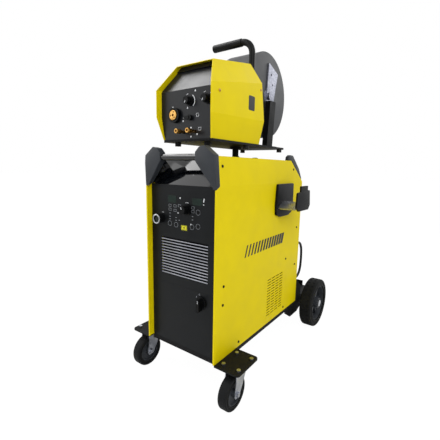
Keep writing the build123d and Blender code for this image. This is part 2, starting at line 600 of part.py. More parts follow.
def caster_fork():
    """Swivel crown with two legs, and the bolt that the wheel turns on."""
    top = CASE_BOTTOM - PLATE_T - HEAD_T - GAP
    low = top - CROWN_T
    wheel_y = CASTER_Y - TRAIL
    crown = rod_z(CROWN_R, CASTER_X, CASTER_Y, (low, top))
    legs = [(wheel_y - 16, CASTER_R - 4), (wheel_y - 10, CASTER_R - 14), (wheel_y + 10, CASTER_R - 14),
            (wheel_y + 18, CASTER_R - 4), (CASTER_Y + 30, low + 3), (CASTER_Y + 30, top),
            (CASTER_Y - 36, top), (CASTER_Y - 40, low)]
    inner = CASTER_W / 2 + FORK_SPACE
    for x in ((-inner - FORK_T, -inner), (inner, inner + FORK_T)):
        crown += plate_x(legs, (CASTER_X + x[0], CASTER_X + x[1]), 2)
    crown += block((CASTER_X - inner, CASTER_X + inner), (CASTER_Y - 36, CASTER_Y + 30), (low + 1, top))
    crown -= rod_z(KING_R + FIT, CASTER_X, CASTER_Y, (0, 200))
    outer = inner + FORK_T
    crown -= rod_x(BOLT_R, (CASTER_X - 50, CASTER_X + 50), wheel_y, CASTER_R)
    bolt = rod_x(BOLT_R, (CASTER_X - outer - 1, CASTER_X + outer + 1), wheel_y, CASTER_R)
    end = Plane((CASTER_X + outer, wheel_y, CASTER_R), x_dir=(0, 1, 0), z_dir=(1, 0, 0))
    head = extrude(end * RegularPolygon(9, 6), amount=BOLT_HEAD_T, dir=(1, 0, 0))
    bolt += head
    bolt += Pos(-2 * outer - BOLT_HEAD_T, 0, 0) * head
    return crown, bolt


def wheel_pieces(x, y, radius, rim, width, bore, boss, boss_r, rounding):
    """Tyre and hub of a wheel that turns about X."""
    tyre = rod_x(radius, (x - width / 2, x + width / 2), y, radius)
    tyre = fillet(tyre.edges(), rounding)
    tyre -= rod_x(rim, (x - width, x + width), y, radius)
    hub = rod_x(rim, (x - width * 0.4, x + width * 0.4), y, radius)
    for side in (-1, 1):
        face = (x + side * width * 0.12, x + side * width * 0.5)
        hub -= rod_x(rim - 6, (min(face), max(face)), y, radius)
    hub += rod_x(boss_r, (x - boss / 2, x + boss / 2), y, radius)
    return tyre, hub - rod_x(bore, (x - width, x + width), y, radius)


def caster_wheel():
    """Wheel whose boss nearly fills the fork."""
    boss = CASTER_W + 2 * FORK_SPACE - 1
    return wheel_pieces(CASTER_X, CASTER_Y - TRAIL, CASTER_R, CASTER_RIM_R, CASTER_W,
                        BOLT_R + FIT, boss, 15, 7)


def rear_wheel():
    """Tyre, and a hub of a rim, a boss and six spokes between them."""
    half = REAR_W / 2
    tyre = fillet(rod_x(REAR_R, (REAR_X - half, REAR_X + half), REAR_Y, REAR_R).edges(), 10)
    whole = (REAR_X - REAR_W, REAR_X + REAR_W)
    tyre -= rod_x(REAR_RIM_R, whole, REAR_Y, REAR_R)
    rim_x = (REAR_X - REAR_W * 0.4, REAR_X + REAR_W * 0.4)
    rim = rod_x(REAR_RIM_R, rim_x, REAR_Y, REAR_R) - rod_x(REAR_RIM_R - RIM_T, whole, REAR_Y, REAR_R)
    boss_x = (REAR_X - half - 1.5, REAR_X + half + 1.5)
    boss = rod_x(BOSS_R, boss_x, REAR_Y, REAR_R) - rod_x(AXLE_R + FIT, whole, REAR_Y, REAR_R)
    between = rod_x(REAR_RIM_R - RIM_T - GAP, whole, REAR_Y, REAR_R)
    between -= rod_x(BOSS_R + GAP, whole, REAR_Y, REAR_R)
    spokes = []
    for index in range(SPOKES):
        spoke = Pos(0, 0, REAR_RIM_R / 2) * Box(SPOKE_T, SPOKE_W, REAR_RIM_R)
        turned = Rot(360 * index / SPOKES, 0, 0) * spoke
        spokes.append((Pos(REAR_X, REAR_Y, REAR_R) * turned) & between)
    return tyre, [rim, boss] + spokes


def rear_axle():
    """Axle with a spacer sleeve inside each wheel and a cap outside it."""
    out = REAR_OUT_X + 2
    axle = rod_x(AXLE_R, (-out - 4, out + 4), REAR_Y, REAR_R)
    pieces = [axle]
    bore = rod_x(AXLE_R, (-300, 300), REAR_Y, REAR_R)
    sleeve_x = (BRACKET_X + BRACKET_T, REAR_OUT_X - REAR_W - 2)
    for x, radius in ((sleeve_x, 14), ((out, out + 3), 17)):
        pieces += both_sides(rod_x(radius, x, REAR_Y, REAR_R) - bore)
    return pieces


# ================================================================ hanger and post
def cable_hanger():
    """Plastic wall plate and outer lip of the hanger on the right cover."""
    (y0, y1), (z0, z1) = HANGER_Y, HANGER_Z
    wall = [(y0 + 8, z1), (y0, z0 + 50), (y0 + 4, z0 + 12), (y0 + 40, z0), (y1 - 45, z0),
            (y1 - 8, z0 + 14), (y1, z0 + 45), (y1 - 2, z1)]
    wall = plate_x(wall, (HALF, HALF + HANGER_T), 9)
    end = HALF + HANGER_OUT
    lip = [(y0 + 16, z1 - 32), (y0 + 10, z0 + 48), (y0 + 34, z0 + 31), (y1 - 30, z0 + 31),
           (y1 - 12, z0 + 50), (y1 - 22, z1 - 25)]
    lip = plate_x(lip, (end - LIP_T, end), 8)
    lip += plate_x(rectangle((y0 + 49, y1 - 46), (z1 - 50, z1 - 6)), (end - LIP_T, end), 4)
    return wall, lip


def hanger_saddle():
    """Metal saddle between the two plates, arched so that hoses lie on it without a kink."""
    (y0, y1), (low, high) = HANGER_Y, SADDLE_Z
    y0, y1 = y0 + 16, y1 - 16
    middle = (y0 + y1) / 2
    plane = Plane((HALF + HANGER_T, 0, 0), x_dir=(0, 1, 0), z_dir=(1, 0, 0))
    arch = ThreePointArc((y0, low), (middle, high), (y1, low))
    under = ThreePointArc((y1, low - 4), (middle, high - 4), (y0, low - 4))
    edge = arch + Line((y1, low), (y1, low - 4)) + under + Line((y0, low - 4), (y0, low))
    return extrude(plane * make_face(edge), amount=HANGER_OUT - HANGER_T - LIP_T, dir=(1, 0, 0))


def pivot_post():
    """Post that carries the feeder, on a beam under the roof, and a plug in the roof."""
    roof = CASE_TOP - SHEET
    shoulder = BASE_Z[0] - 8 - GAP
    foot_t = 5
    post = rod_z(POST_R, 0, POST_Y, (roof - GAP - foot_t, shoulder))
    post += rod_z(30, 0, POST_Y, (roof - GAP - foot_t, roof - GAP))
    post += rod_z(PIN_R, 0, POST_Y, (shoulder - 1, BASE_Z[1] + PIN_UP - 4))
    beam_top = roof - GAP - foot_t
    beam_half = INNER - LEAN - 2
    beam = block((-beam_half, beam_half), (POST_Y - 35, POST_Y + 35), (beam_top - 30, beam_top))
    beam -= block((-beam_half - 1, beam_half + 1), (POST_Y - 32, POST_Y + 32), (beam_top - 31, beam_top - 3))
    plug = rod_z(14, 60, POST_Y + 62, (CASE_TOP, CASE_TOP + 8))
    plug = fillet(plug.edges().sort_by(Axis.Z)[-1], 6)
    return post, beam, plug


# ================================================================ wire feeder
def facet(points):
    """Plane through three corners of the feeder box, facing outwards."""
    a, b, c = [Vector(*point) for point in points]
    normal = (b - a).cross(c - a).normalized()
    middle = Vector(0, 190, 1060)
    if normal.dot(a - middle) < 0:
        normal = normal * -1
    return Plane(a, z_dir=normal)


def feeder_facets():
    """The box's sides and its open ends, as two lists of planes."""
    f, r = FEED_FRONT, FEED_REAR
    sides = []
    for s in (-1, 1):
        sides.append(facet([(s * FEED_MID, *f[1]), (s * FEED_MID, *r[1]), (s * FEED_MID, *f[2])]))
        sides.append(facet([(s * FEED_MID, *f[2]), (s * FEED_MID, *r[2]), (s * FEED_ROOF, *f[3])]))
        sides.append(facet([(s * FEED_MID, *f[1]), (s * FEED_MID, *r[1]), (s * FEED_LOW, *f[0])]))
    sides.append(facet([(-FEED_ROOF, *f[3]), (FEED_ROOF, *f[3]), (FEED_ROOF, *r[3])]))
    ends = [facet([(-9, *a), (9, *a), (0, *b)]) for a, b in zip(f[:-1], f[1:])]
    ends += [facet([(-9, *a), (9, *a), (0, *b)]) for a, b in zip(r[:-1], r[1:])]
    ends.append(Plane((0, 190, BASE_Z[1]), z_dir=(0, 0, -1)))
    return sides, ends


def feeder_box(wall, end):
    """The box with its sides moved in by wall and its ends by end."""
    body = block((-200, 200), (-60, 460), (800, 1300))
    sides, ends = feeder_facets()
    for plane, gap in [(side, wall) for side in sides] + [(face, end) for face in ends]:
        body = split(body, bisect_by=plane.offset(-gap), keep=Keep.BOTTOM)
    return body


def feeder_covers():
    """Fixed right cover and the left cover, which is the door."""
    shell = feeder_box(0, 0) - feeder_box(FEED_SHEET, -20)
    right = shell & block((0, 200), (-60, 460), (800, 1300))
    left = shell & block((-200, -GAP), (-60, 460), (BASE_Z[1] + GAP, 1300))
    for y, z in FEED_SCREWS:
        right -= rod_x(SCREW_R + FIT, (FEED_MID - 9, FEED_MID + 5), y, z)
    hinge_x, hinge_z = door_hinge()
    front, rear = FEED_FRONT[0][0] + 20, FEED_REAR[0][0] - 20
    for y in ((front, front + 60), (rear - 60, rear)):
        left += rod_y(5, hinge_x, y, hinge_z) + block((hinge_x, hinge_x + 5), y, (hinge_z, hinge_z + 12))
    left -= rod_y(HINGE_R + FIT, hinge_x, (0, 400), hinge_z)
    return right, left


def door_hinge():
    """Hinge line of the feeder door, beside the left edge of its base plate."""
    return -FEED_LOW - 6.5, BASE_Z[1] + 6


def door_sweep(fold_z):
    """Radius about the hinge line that the door's lower inner edge needs, where its fold is at fold_z."""
    hinge_x, hinge_z = door_hinge()
    share = (fold_z - BASE_Z[1]) / (FEED_FRONT[1][1] - BASE_Z[1])
    edge = FEED_MID - share * (FEED_MID - FEED_LOW)
    return hypot(FEED_SHEET - edge - hinge_x, hinge_z - BASE_Z[1]) + 2 * GAP


def feeder_panels():
    """Front panel with its upper slope, the black strip along its top, and the rear panel."""
    y, t, bend = FEED_PANEL_Y, FEED_PANEL_T, FEED_BEND_Z
    (fy, fz), (ty, tz) = FEED_FRONT[2], FEED_FRONT[3]
    slope = (ty - fy) / (tz - fz)
    high = 1200.0
    top_y = y + slope * (high - bend)
    inner = feeder_box(FEED_SHEET + 2 * GAP, -60)
    whole_width = (-FEED_MID, FEED_MID)
    front = plate_x([(y, BASE_Z[1]), (y + t, BASE_Z[1]), (y + t, bend - 1), (top_y + t, high),
                     (top_y, high), (y, bend)], whole_width) & inner
    for x in DIAL_X.values():
        front -= rod_y(SHAFT_R + FIT, x, (0, 99), DIAL_Z)
    front -= rod_y(SHAFT_R + FIT, SELECTOR_X, (0, 99), SELECTOR_Z)
    front -= rod_y(TORCH_R - 8, WIRE_X, (0, 99), WIRE_Z)
    for x in COUPLER_X:
        front -= rod_y(6, x, (0, 99), COUPLER_Z)
    hinge_x, hinge_z = door_hinge()
    front -= rod_y(door_sweep(FEED_FRONT[1][1]), hinge_x, (0, 99), hinge_z)
    low, top = STRIP_Z
    low_y, strip_y = y + slope * (low - bend), y + slope * (top - bend)
    strip = plate_x([(low_y, low), (strip_y, top), (strip_y - 5, top), (low_y - 5, low)], whole_width) & inner
    recess = 32
    behind = [(corner_y - recess, corner_z) for corner_y, corner_z in FEED_REAR]
    before = [(corner_y - t, corner_z) for corner_y, corner_z in reversed(behind)]
    rear = plate_x(behind + before, whole_width) & inner
    rear -= rod_y(9, WIRE_X, (200, 400), WIRE_Z)
    rear -= rod_y(door_sweep(FEED_REAR[1][1]), hinge_x, (200, 400), hinge_z)
    return front, strip, rear


def selector():
    """Small lever on its shaft."""
    back = FEED_PANEL_Y - GAP
    lever = rod_y(9, SELECTOR_X, (back - 10, back), SELECTOR_Z)
    lever += block((SELECTOR_X - 20, SELECTOR_X), (back - 12, back - 3), (SELECTOR_Z - 5, SELECTOR_Z + 5))
    return lever + rod_y(SHAFT_R, SELECTOR_X, (back - 2, back + 16), SELECTOR_Z)


def torch_socket():
    """Brass socket body with its bore for the torch plug, in a black ring on the panel."""
    face = FEED_PANEL_Y - TORCH_OUT
    nose = face - 2
    body_r = TORCH_R - 8.5
    body = rod_y(body_r, WIRE_X, (nose, 95), WIRE_Z)
    body -= rod_y(4.5, WIRE_X, (nose - 1, nose + TORCH_BORE), WIRE_Z)
    ring = rod_y(TORCH_R, WIRE_X, (face, FEED_PANEL_Y), WIRE_Z)
    ring -= rod_y(body_r, WIRE_X, (face - 9, 99), WIRE_Z)
    return body, chamfer(ring.edges().sort_by(Axis.Y)[1], 1.5)


def coupler(x):
    """Quick coupling: brass nose with a bore, and a coloured collar."""
    nose = rod_y(5.5, x, (FEED_PANEL_Y - COUPLER_OUT, FEED_PANEL_Y + 14), COUPLER_Z)
    nose += rod_y(8, x, (FEED_PANEL_Y - COUPLER_OUT, FEED_PANEL_Y - 22), COUPLER_Z)
    nose -= rod_y(4, x, (FEED_PANEL_Y - COUPLER_OUT - 1, FEED_PANEL_Y - 24), COUPLER_Z)
    collar = rod_y(10.5, x, (FEED_PANEL_Y - 22, FEED_PANEL_Y), COUPLER_Z)
    return nose, collar - rod_y(5.5, x, (0, 99), COUPLER_Z)


def drive_unit():
    """Gear motor and the plate that carries the rolls, standing on the base plate."""
    x = DRIVE_PLATE_X
    plate = plate_x([(96, BASE_Z[1]), (240, BASE_Z[1]), (ARM_PIVOT[0] + 16, ARM_PIVOT[1] + 10),
                     (ARM_PIVOT[0] - 16, ARM_PIVOT[1] + 10), (206, WIRE_Z + 4), (96, WIRE_Z + 4)], x, 4)
    for y in ROLL_Y.values():
        plate -= rod_x(SHAFT_R + FIT, (-99, 99), y, WIRE_Z - ROLL_R - WIRE_R)
    pin = rod_x(SHAFT_R, (WIRE_X - 20, x[0] + 1), *ARM_PIVOT)
    foot = block((x[1], x[1] + 26), (110, 225), (BASE_Z[1], BASE_Z[1] + 4))
    middle = sum(ROLL_Y.values()) / len(ROLL_Y)
    motor = rod_x(MOTOR_R, (x[1], x[1] + MOTOR_L), middle, BASE_Z[1] + MOTOR_R + 21)
    for y in ROLL_Y.values():
        motor -= rod_x(SHAFT_R + 1.5, (x[1] - 1, x[1] + 12), y, WIRE_Z - ROLL_R - WIRE_R)
    return plate + pin + foot, motor


def feed_roll(y):
    """Grooved lower roll with its shaft and cap."""
    z = WIRE_Z - ROLL_R - WIRE_R
    x = (WIRE_X - ROLL_W / 2, WIRE_X + ROLL_W / 2)
    roll = rod_x(ROLL_R, x, y, z) + rod_x(SHAFT_R, (x[1] - 1, DRIVE_PLATE_X[1] + 6), y, z)
    groove = rod_x(ROLL_R + 1, (WIRE_X - 1, WIRE_X + 1), y, z)
    groove -= rod_x(ROLL_R - 1, (WIRE_X - 2, WIRE_X + 2), y, z)
    return roll - groove + rod_x(9, (x[0] - 6, x[0] + 1), y, z)


def pressure_arm():
    """Arm with its two upper rolls; it lifts about the pin behind them."""
    y0, z0 = ARM_PIVOT
    x = (WIRE_X - ROLL_W / 2 - 8, WIRE_X - ROLL_W / 2)
    front, low = y0 - 124, z0 - 26
    arm = plate_x([(front, low), (y0 - 24, low), (y0 + 12, z0 - 8), (y0 + 12, z0 + 10),
                   (front + 10, z0 + 6)], x, 4)
    arm -= rod_x(SHAFT_R + FIT, (-99, 99), y0, z0)
    rolls = [rod_x(ROLL_R, (x[1], x[1] + ROLL_W), y, WIRE_Z + ROLL_R + WIRE_R) for y in ROLL_Y.values()]
    return [arm] + rolls


def feeder_base():
    """Base plate on its bush, the hinge ears of the door and its pin."""
    half = BASE_W / 2
    plate = plate_z(rectangle((-half, half), BASE_Y), BASE_Z, 10)
    plate -= rod_z(BUSH_R - 8, 0, POST_Y, (800, 1000))
    bush = rod_z(BUSH_R, 0, POST_Y, (BASE_Z[0] - 8, BASE_Z[0]))
    bush += rod_z(BUSH_R - 8, 0, POST_Y, (BASE_Z[0] - 1, BASE_Z[1] + PIN_UP))
    bush -= rod_z(PIN_R + FIT, 0, POST_Y, (800, 1000))
    hinge_x, hinge_z = door_hinge()
    front, rear = FEED_FRONT[0][0] + 20, FEED_REAR[0][0] - 20
    pieces = [plate, bush, rod_y(HINGE_R, hinge_x, (front - 8, rear + 8), hinge_z)]
    for y in ((front - 8, front - GAP), (rear + GAP, rear + 8)):
        ear = block((hinge_x - 4, -half), y, (BASE_Z[0], hinge_z)) + rod_y(4, hinge_x, y, hinge_z)
        pieces.append(ear - rod_y(HINGE_R, hinge_x, (0, 400), hinge_z))
    return pieces


def feeder_feet():
    return [foot for x, y in FOOT_SPOTS
            for foot in both_sides(rod_z(FOOT_R, x, y, (BASE_Z[0] - FOOT_H, BASE_Z[0])))]


def feeder_screws():
    return [rod_x(SCREW_HEAD_R, (FEED_MID, FEED_MID + SCREW_HEAD_T), y, z)
            + rod_x(SCREW_R, (FEED_MID - 8, FEED_MID + 1), y, z) for y, z in FEED_SCREWS]


def spool_mast():
    """Black post from the base plate towards the hub."""
    high = SPOOL_Z - 24
    post = plate_x([(487, BASE_Z[1]), (538, BASE_Z[1]), (556, high), (505, high)], MAST_X)
    foot = block((MAST_X[0] - 20, MAST_X[1] + 16), (480, 550), (BASE_Z[1], BASE_Z[1] + 4))
    return post + foot


def spool_bracket():
    """Zinc plate on the post, the hub that the spool turns on, and the nut behind it."""
    right = MAST_X[0]
    plate = plate_x([(501, 1000), (545, 1000), (613, 1256), (525, 1286)], (DRUM_X[1], right), 3)
    for y, z in ((548, 1240), (566, 1200)):
        plate -= rod_x(5, (0, 99), y, z)
    hub = rod_x(HUB_R, (SPOOL_X - 3, DRUM_X[1]), SPOOL_Y, SPOOL_Z)
    hub -= rod_x(HUB_R - 6, (SPOOL_X - 9, DRUM_X[1] - 20), SPOOL_Y, SPOOL_Z)
    cap = rod_x(34, (SPOOL_X - 12, SPOOL_X - 3), SPOOL_Y, SPOOL_Z)
    cap = fillet(cap.edges().sort_by(Axis.X)[0], 3)
    nut = rod_x(15, (right, right + 11), SPOOL_Y + 6, SPOOL_Z)
    return plate, hub, cap, nut


def wire_spool():
    """Plastic spool between its flanges and the wire wound on it."""
    x = (SPOOL_X, SPOOL_X + SPOOL_W)
    flange = 4
    spool = rod_x(SPOOL_R, x, SPOOL_Y, SPOOL_Z)
    spool -= rod_x(SPOOL_R + 1, (x[0] + flange, x[1] - flange), SPOOL_Y, SPOOL_Z) - rod_x(
        BARREL_R, x, SPOOL_Y, SPOOL_Z)
    spool -= rod_x(BARREL_R - 6, (x[0] - 1, x[1] - flange), SPOOL_Y, SPOOL_Z)
    spool += rod_x(HUB_R + 5, x, SPOOL_Y, SPOOL_Z)
    for angle in range(0, 180, 60):
        rib = Rot(angle, 0, 0) * Box(SPOOL_W, 2 * BARREL_R - 4, 4)
        spool += Pos(SPOOL_X + SPOOL_W / 2, SPOOL_Y, SPOOL_Z) * rib
    spool -= rod_x(HUB_R + 0.1, (x[0] - 1, x[1] + 1), SPOOL_Y, SPOOL_Z)
    wire = rod_x(WIRE_PACK_R, (x[0] + flange, x[1] - flange), SPOOL_Y, SPOOL_Z)
    return spool, wire - rod_x(BARREL_R, x, SPOOL_Y, SPOOL_Z)


def spool_hinge():
    """Upright hinge line of the left half, behind the cover at its seam."""
    return DRUM_SEAM, SPOOL_Y + DRUM_R + KNUCKLE_R


def spool_covers():
    """Right half, fixed to the bracket, and left half on its hinge."""
    (x0, x1), seam = DRUM_X, DRUM_SEAM
    right = rod_x(DRUM_R, (seam + GAP / 2, x1), SPOOL_Y, SPOOL_Z)
    right -= rod_x(DRUM_R - DRUM_WALL, (seam - 9, x1 - DRUM_WALL), SPOOL_Y, SPOOL_Z)
    right -= rod_x(HUB_R + GAP, (0, 99), SPOOL_Y, SPOOL_Z)
    left = rod_x(DRUM_R, (x0, seam - GAP / 2), SPOOL_Y, SPOOL_Z)
    left = fillet(left.edges().sort_by(Axis.X)[0], 8)
    left -= rod_x(DRUM_R - DRUM_WALL, (x0 + DRUM_WALL, seam + 9), SPOOL_Y, SPOOL_Z)
    right -= rod_y(9, seam + 11, (300, 400), SPOOL_Z - 60)
    hinge_x, hinge_y = spool_hinge()
    reach, middle = 40, 20
    bands = ((SPOOL_Z - reach, SPOOL_Z - middle), (SPOOL_Z + middle, SPOOL_Z + reach))
    wall_y = SPOOL_Y + sqrt(DRUM_R ** 2 - reach ** 2) - 1.5
    for z in bands:
        right += rod_z(KNUCKLE_R, hinge_x, hinge_y, z)
        right += block((hinge_x + GAP, hinge_x + 18), (wall_y, hinge_y + 3), z)
    z = (SPOOL_Z - middle + GAP, SPOOL_Z + middle - GAP)
    left += rod_z(KNUCKLE_R, hinge_x, hinge_y, z)
    left += block((hinge_x - 18, hinge_x - GAP), (wall_y, hinge_y + 3), z)
    hole = rod_z(HINGE_R + FIT, hinge_x, hinge_y, (900, 1400))
    pin = rod_z(HINGE_R, hinge_x, hinge_y, (SPOOL_Z - reach - 2, SPOOL_Z + reach + 2))
    return [right - rod_z(HINGE_R, hinge_x, hinge_y, (900, 1400)), pin], left - hole


def feeder_handle():
    """Tube with one bend: a leg from the base plate, and the bar with its grip."""
    path = FilletPolyline((HANDLE_X, HANDLE_Y, BASE_Z[1] + 4), (HANDLE_X, HANDLE_Y, HANDLE_Z),
                          (HANDLE_END_X + 2, HANDLE_Y, HANDLE_Z), radius=HANDLE_BEND)
    tube = sweep(Plane(path @ 0, z_dir=path % 0) * Circle(HANDLE_R), path=path)
    foot = rod_z(HANDLE_R + 9, HANDLE_X, HANDLE_Y, (BASE_Z[1], BASE_Z[1] + 4))
    grip = rod_x(GRIP_R, (HANDLE_END_X, HANDLE_X - HANDLE_BEND), HANDLE_Y, HANDLE_Z)
    grip = fillet(grip.edges(), 2)
    grip -= rod_x(HANDLE_R, (HANDLE_END_X + 2, HANDLE_X), HANDLE_Y, HANDLE_Z)
    return tube + foot, grip


# ================================================================ assembly
os.makedirs("parts", exist_ok=True)

right_cover = case_cover()
fork, bolt = caster_fork()
caster_tyre, caster_hub = caster_wheel()
rear_tyre, rear_hub_pieces = rear_wheel()
for side_name, side in (("left", -1), ("right", 1)):
    write(f"case_cover_{side_name}", on_side(right_cover, side))
    write(f"caster_fork_{side_name}", on_side(fork, side), on_side(bolt, side))
    write(f"caster_tyre_{side_name}", on_side(caster_tyre, side))
    write(f"caster_hub_{side_name}", on_side(caster_hub, side))
    write(f"rear_tyre_{side_name}", on_side(rear_tyre, side))
    write(f"rear_hub_{side_name}", *[on_side(piece, side) for piece in rear_hub_pieces])

write("base_frame", *base_frame())
write("caster_plates", *both_sides(caster_plate()))
write("caster_mounts", *[piece for part in caster_mount() for piece in both_sides(part)])
write("rear_axle", *rear_axle())
write("cylinder_rack", *cylinder_rack())

write("case_screws", *case_screws())
write("front_panel", front_panel())
write("lower_panel", lower_panel())
write("louvres", *louvres())
write("display_windows", *windows())
write("setting_knob", knob(KNOB_X, KNOB_Z, KNOB_R, KNOB_L, PANEL_Y))
for name, z in BUTTON_Z.items():
    write(name, button(z))
write("remote_socket", *remote_socket())
write("main_switch", main_switch())
write("front_horns", *both_sides(front_horn()))
write("front_bar", front_bar())
write("gloss_panel", *gloss_panel())
write("rear_horns", *both_sides(rear_horn()))
write("rear_panel", *rear_panel())
write("fan_housing", *fan_housing())
write("fan_rotor", fan_rotor())
write("interconnection_lead", lead())
write("power_core", *power_core())
write("cable_hanger", *cable_hanger())
write("hanger_saddle", hanger_saddle())
write("pivot_post", *pivot_post())

cover, door = feeder_covers()
write("feeder_cover", cover)
write("feeder_door", door)
write("feeder_base", *feeder_base())
write("feeder_feet", *feeder_feet())
write("feeder_panels", *feeder_panels())
write("feeder_screws", *feeder_screws())
for name, x in DIAL_X.items():
    write(name, knob(x, DIAL_Z, DIAL_R, DIAL_L, FEED_PANEL_Y))
write("feeder_selector", selector())
write("torch_socket", *torch_socket())
write("coolant_couplers", *[piece for x in COUPLER_X for piece in coupler(x)])
write("drive_unit", *drive_unit())
for name, y in ROLL_Y.items():
    write(name, feed_roll(y))
write("pressure_arm", *pressure_arm())
write("spool_mast", spool_mast())
write("spool_bracket", *spool_bracket())
write("wire_spool", *wire_spool())
fixed_half, swinging_half = spool_covers()
write("spool_cover_right", *fixed_half)
write("spool_cover_left", swinging_half)
write("feeder_handle", *feeder_handle())
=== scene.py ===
"""Looks of a wheeled wire-feed welder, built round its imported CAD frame."""

import json
import logging
from collections.abc import Callable, Iterable, Sequence
from dataclasses import dataclass
from enum import Enum
from math import atan2, cos, hypot, pi, radians, sin

import bmesh
import bpy
from mathutils import Matrix, Vector


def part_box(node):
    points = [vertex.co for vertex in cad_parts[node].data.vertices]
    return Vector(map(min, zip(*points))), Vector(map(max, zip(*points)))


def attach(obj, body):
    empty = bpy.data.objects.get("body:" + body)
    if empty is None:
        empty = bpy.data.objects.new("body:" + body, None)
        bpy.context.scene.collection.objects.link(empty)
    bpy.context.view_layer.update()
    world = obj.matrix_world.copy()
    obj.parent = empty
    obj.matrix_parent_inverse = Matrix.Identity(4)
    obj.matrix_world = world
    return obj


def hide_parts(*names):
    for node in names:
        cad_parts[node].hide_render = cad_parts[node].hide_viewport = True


LOG = logging.getLogger("welder")
MM = 0.001

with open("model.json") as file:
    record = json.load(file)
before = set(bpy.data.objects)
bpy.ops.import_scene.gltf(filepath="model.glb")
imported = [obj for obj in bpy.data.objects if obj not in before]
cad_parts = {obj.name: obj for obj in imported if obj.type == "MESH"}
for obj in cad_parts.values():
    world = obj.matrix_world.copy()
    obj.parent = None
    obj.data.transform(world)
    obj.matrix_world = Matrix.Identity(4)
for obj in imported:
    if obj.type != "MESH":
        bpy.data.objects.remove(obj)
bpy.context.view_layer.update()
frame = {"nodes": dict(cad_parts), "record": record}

Piece = bpy.types.Object
Test = Callable[[Vector, Vector], bool]
Move = Callable[[], object]


# ------------------------------------------------------------------ finishes
class Pattern(Enum):
    """How a surface was made, which decides the shape of its fine relief."""

    PEEL = "powder coat that flowed out in the oven"
    GRIT = "fine-textured powder coat or moulded grain"
    BRUSH = "drawn or ground metal"
    SPANGLE = "hot-dip zinc"
    TURNS = "wound wire"
    STACK = "stacked sheets"


def linear(code: str) -> tuple[float, float, float, float]:
    """Turns an sRGB hex colour to linear.

    Args:
        code: Six hex digits after a hash.

    Returns:
        Linear red, green, blue and an alpha of one.
    """
    parts = [int(code[start:start + 2], 16) / 255 for start in (1, 3, 5)]
    red, green, blue = (c / 12.92 if c <= 0.04045 else ((c + 0.055) / 1.055) ** 2.4 for c in parts)
    return red, green, blue, 1.0


def add(tree: bpy.types.NodeTree, kind: str, values: dict | None = None, links: dict | None = None,
        **settings: object) -> bpy.types.Node:
    """Adds one node with its settings and links.

    Args:
        tree: Node tree to add to.
        kind: Name of the node's type.
        values: Constant values by socket name.
        links: Sources by socket name.
        **settings: Properties of the node itself.

    Returns:
        The new node.
    """
    node = tree.nodes.new(kind)
    for name, value in settings.items():
        setattr(node, name, value)
    for name, value in (values or {}).items():
        node.inputs[name].default_value = value
    for name, source in (links or {}).items():
        tree.links.new(source, node.inputs[name])
    return node


@dataclass(frozen=True)
class Finish:
    """One real surface: its colours, its gloss and the relief its making left."""

    name: str
    colour: str
    tint: str
    pattern: Pattern
    grain_mm: float
    relief_mm: float
    rough: float
    rough_spread: float = 0.05
    metallic: float = 0.0
    specular: float = 0.25
    blotch_mm: float = 70.0
    draw: tuple[float, float, float] = (1.0, 1.0, 1.0)

    def relief(self, tree: bpy.types.NodeTree, place: bpy.types.NodeSocket) -> bpy.types.NodeSocket:
        """Makes the height that the bump reads.

        Args:
            tree: Node tree of the material.
            place: Object coordinates.

        Returns:
            Height from about 0 to 1.
        """
        scale = 1 / (self.grain_mm * MM)
        if self.pattern in (Pattern.GRIT, Pattern.SPANGLE):
            cells = add(tree, "ShaderNodeTexVoronoi", {"Scale": scale}, {"Vector": place})
            return cells.outputs["Distance"]
        if self.pattern in (Pattern.TURNS, Pattern.STACK):
            wave = add(tree, "ShaderNodeTexWave", {"Scale": scale * 0.314, "Distortion": 0.4}, {"Vector": place},
                       bands_direction="X" if self.pattern is Pattern.TURNS else "Y")
            return wave.outputs["Fac"]
        spread = add(tree, "ShaderNodeMapping", {"Scale": self.draw}, {"Vector": place})
        noise = add(tree, "ShaderNodeTexNoise", {"Scale": scale, "Detail": 4.0},
                    {"Vector": spread.outputs["Vector"]})
        return noise.outputs["Fac"]

    def material(self) -> bpy.types.Material:
        """Builds the material once, and gives the same one after that."""
        if self.name in bpy.data.materials:
            return bpy.data.materials[self.name]
        made = bpy.data.materials.new(self.name)
        made.use_nodes = True
        made.diffuse_color = linear(self.colour)
        tree = made.node_tree
        tree.nodes.clear()
        place = add(tree, "ShaderNodeTexCoord").outputs["Object"]
        height = self.relief(tree, place)
        bump = add(tree, "ShaderNodeBump", {"Strength": 1.0, "Distance": self.relief_mm * MM}, {"Height": height})
        blotch = add(tree, "ShaderNodeTexNoise", {"Scale": 1 / (self.blotch_mm * MM), "Detail": 5.0},
                     {"Vector": place})
        # In wound wire the darker tint of the low bands is painted shade between the turns; for stacked sheets and zinc
        # it is their own tone.
        banded = self.pattern in (Pattern.TURNS, Pattern.STACK, Pattern.SPANGLE)
        ramp = add(tree, "ShaderNodeValToRGB", links={"Fac": height if banded else blotch.outputs["Fac"]})
        first, last = ramp.color_ramp.elements
        first.position, last.position = (0.2, 0.8) if banded else (0.35, 0.7)
        first.color, last.color = linear(self.tint), linear(self.colour)
        worn = add(tree, "ShaderNodeMapRange", {"From Min": 0.3, "From Max": 0.7,
                                                "To Min": max(0.03, self.rough - self.rough_spread),
                                                "To Max": self.rough + self.rough_spread},
                   {"Value": blotch.outputs["Fac"]})
        shader = add(tree, "ShaderNodeBsdfPrincipled",
                     {"Metallic": self.metallic, "Specular IOR Level": self.specular},
                     {"Base Color": ramp.outputs["Color"], "Roughness": worn.outputs["Result"],
                      "Normal": bump.outputs["Normal"]})
        add(tree, "ShaderNodeOutputMaterial", links={"Surface": shader.outputs["BSDF"]})
        return made


# Powder-coated steel sheet: a warm lemon yellow, with the soft ripple that spreads its highlights.
YELLOW = Finish("yellow_powder_coat", "#ddc800", "#d8c300", Pattern.PEEL, 2.4, 0.03, 0.5, 0.04,
                specular=0.1)
